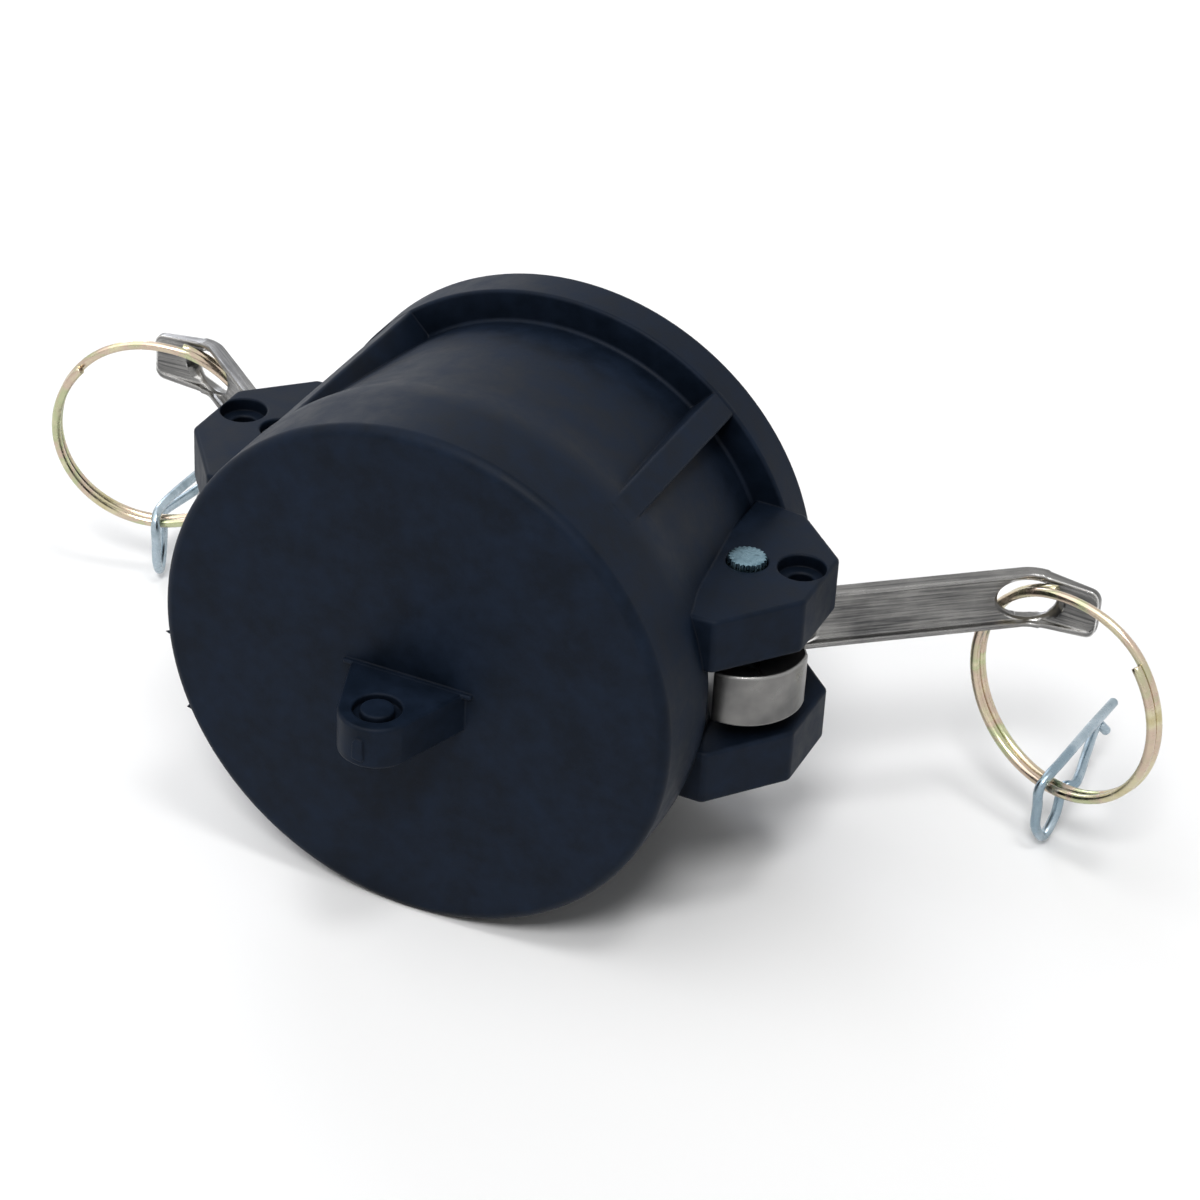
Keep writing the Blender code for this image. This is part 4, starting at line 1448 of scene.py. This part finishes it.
@dataclass(frozen=True)
class Studio:
    """White table, soft light and the photograph's camera."""

    azimuth: float = 23.37
    elevation: float = 32.4
    roll: float = 3.21
    distance: float = 502.0 * MM
    focal_pixels: float = 3493.2
    photo_pixels: int = 1200
    sensor: float = 36.0
    target: tuple[float, float, float] = (18.24 * MM, -12.0 * MM, 46.08 * MM)
    surround: float = 0.24
    overheads: tuple[Overhead, ...] = (Overhead("near_window", (0.24, -0.17, 1.0), 12.0, 0.6),
                                       Overhead("far_window", (0.2, -0.75, 1.0), 16.0, 1.4),
                                       Overhead("ceiling", (-0.5, -0.4, 1.0), 65.0, 1.25))
    sheen: Lamp = Lamp("sheen", (-0.6, 0.55, 0.42), 0.35, 1.2, "eef3ff")
    sheen_aim: tuple[float, float, float] = (0.0, 0.0, 30.0 * MM)
    table_half: float = 2.5
    table_colour: str = "f4f4f4"
    table_roughness: float = 0.6

    def build(self) -> None:
        """Builds the table, the lights, the white world and the camera."""
        self.table()
        for lamp in self.overheads:
            self.overhead(lamp)
        self.light(self.sheen)
        self.world()
        self.camera()
        bpy.context.scene.view_settings.view_transform = "Standard"

    def table(self) -> None:
        """The white table, large enough to fill the view."""
        shape = bmesh.new()
        bmesh.ops.create_grid(shape, x_segments=1, y_segments=1, size=self.table_half)
        paper, _, shader = start_material("white_table", 0.0)
        shader.inputs["Base Color"].default_value = linear(self.table_colour)
        shader.inputs["Roughness"].default_value = self.table_roughness
        as_object("table", shape, paper)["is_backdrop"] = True

    def hang(self, data: bpy.types.Light, place: Vector, facing: Quaternion) -> None:
        """Puts a light in the scene.

        Args:
            data: The light.
            place: Where it hangs.
            facing: How it is turned.
        """
        made = bpy.data.objects.new(data.name, data)
        made.location = place
        made.rotation_euler = facing.to_euler()
        bpy.context.scene.collection.objects.link(made)

    def overhead(self, lamp: Overhead) -> None:
        """A light that is the same over all of the table.

        Args:
            lamp: The light.
        """
        data = bpy.data.lights.new(lamp.name, "SUN")
        data.energy = lamp.power
        data.angle = math.radians(lamp.width)
        self.hang(data, Vector(), Vector(lamp.towards).to_track_quat("Z", "Y"))

    def light(self, lamp: Lamp) -> None:
        """One area light, aimed at the cap.

        Args:
            lamp: The light.
        """
        data = bpy.data.lights.new(lamp.name, "AREA")
        data.shape = "DISK"
        data.size = lamp.size
        data.energy = lamp.power
        data.color = linear(lamp.colour)[:3]
        place = Vector(lamp.place)
        self.hang(data, place, (Vector(self.sheen_aim) - place).to_track_quat("-Z", "Y"))

    def world(self) -> None:
        """A white surround that the camera and shiny metal see, and a softer one that lights the cap."""
        made = bpy.data.worlds.new("studio")
        made.use_nodes = True
        tree = made.node_tree
        tree.nodes.clear()
        path = add_node(tree, "ShaderNodeLightPath").outputs
        seen = path["Is Camera Ray"]
        for ray in ("Is Glossy Ray", "Is Transmission Ray"):
            seen = add_node(tree, "ShaderNodeMath", {0: seen, 1: path[ray]}, operation="MAXIMUM").outputs[0]
        white = linear("ffffff")
        soft, full = [add_node(tree, "ShaderNodeBackground", {"Color": white, "Strength": strength})
                      for strength in (self.surround, 1.0)]
        both = add_node(tree, "ShaderNodeMixShader", {0: seen, 1: soft.outputs[0], 2: full.outputs[0]})
        add_node(tree, "ShaderNodeOutputWorld", {"Surface": both.outputs[0]})
        bpy.context.scene.world = made

    def camera(self) -> None:
        """The camera, from a fit of the cap's true shape to the photograph."""
        turn, rise, roll = [math.radians(a) for a in (self.azimuth, self.elevation, self.roll)]
        back = Vector((math.sin(turn) * math.cos(rise), -math.cos(turn) * math.cos(rise), math.sin(rise)))
        right = Vector((math.cos(turn), math.sin(turn), 0.0))
        up = back.cross(right)
        tilted_right = right * math.cos(roll) + up * math.sin(roll)
        tilted_up = up * math.cos(roll) - right * math.sin(roll)
        data = bpy.data.cameras.new("camera")
        data.sensor_width = self.sensor
        data.lens = self.focal_pixels * self.sensor / self.photo_pixels
        data.clip_start = 10.0 * MM
        made = bpy.data.objects.new("camera", data)
        rotation = Matrix((tilted_right, tilted_up, back)).transposed()
        made.matrix_world = Matrix.Translation(Vector(self.target) + back * self.distance) @ rotation.to_4x4()
        bpy.context.scene.collection.objects.link(made)
        bpy.context.scene.camera = made


def main(frame: dict, solid_box: tuple) -> None:
    """Builds the cap on the frame, and the studio round it.

    Args:
        solid_box: The solids' box, from straight after loading; not used.
    """
    joints = {joint["name"]: joint for joint in frame["record"]["behaviour"]["joints"]}
    size, ears = CapSize(), EarSize()
    pivots = {side: Vector(joints[f"arm_{side.label}_pivot"]["pos_m"]) for side in Side}
    pin = Vector((pivots[Side.RIGHT].x, pivots[Side.RIGHT].y))
    face_y, axis_z = pin.y - size.pin_from_face, pivots[Side.RIGHT].z
    body = CapBody(size, ears, LugSize(), POLYPROPYLENE.material(), face_y, axis_z, pin)
    pieces = [body.build(), Gasket(size, face_y, axis_z).build()]
    steel, yellow, blue, dull = [finish.material() for finish in (STEEL, YELLOW_ZINC, BLUE_ZINC, PIN_ZINC)]
    for side in Side:
        pieces.append(CamPin(side, pin, axis_z, ears.top + PRESSED[side]).build(dull))
        pieces.append(CamArm(ArmSize(), side, pivots[side]).build(steel))
        ring = PullRing(RingSize(), side, Vector(joints[f"ring_{side.label}_swing"]["pos_m"]))
        pieces += [ring.build(yellow), SafetyClip(ClipSize(), ring).build(blue)]
    for piece in pieces:
        LOG.info("%s: %d faces", piece.name, len(piece.data.polygons))
    Studio().build()


if __name__ == "__main__":
    logging.basicConfig(level=logging.INFO, format="%(message)s")
    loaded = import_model()
    main(loaded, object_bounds())
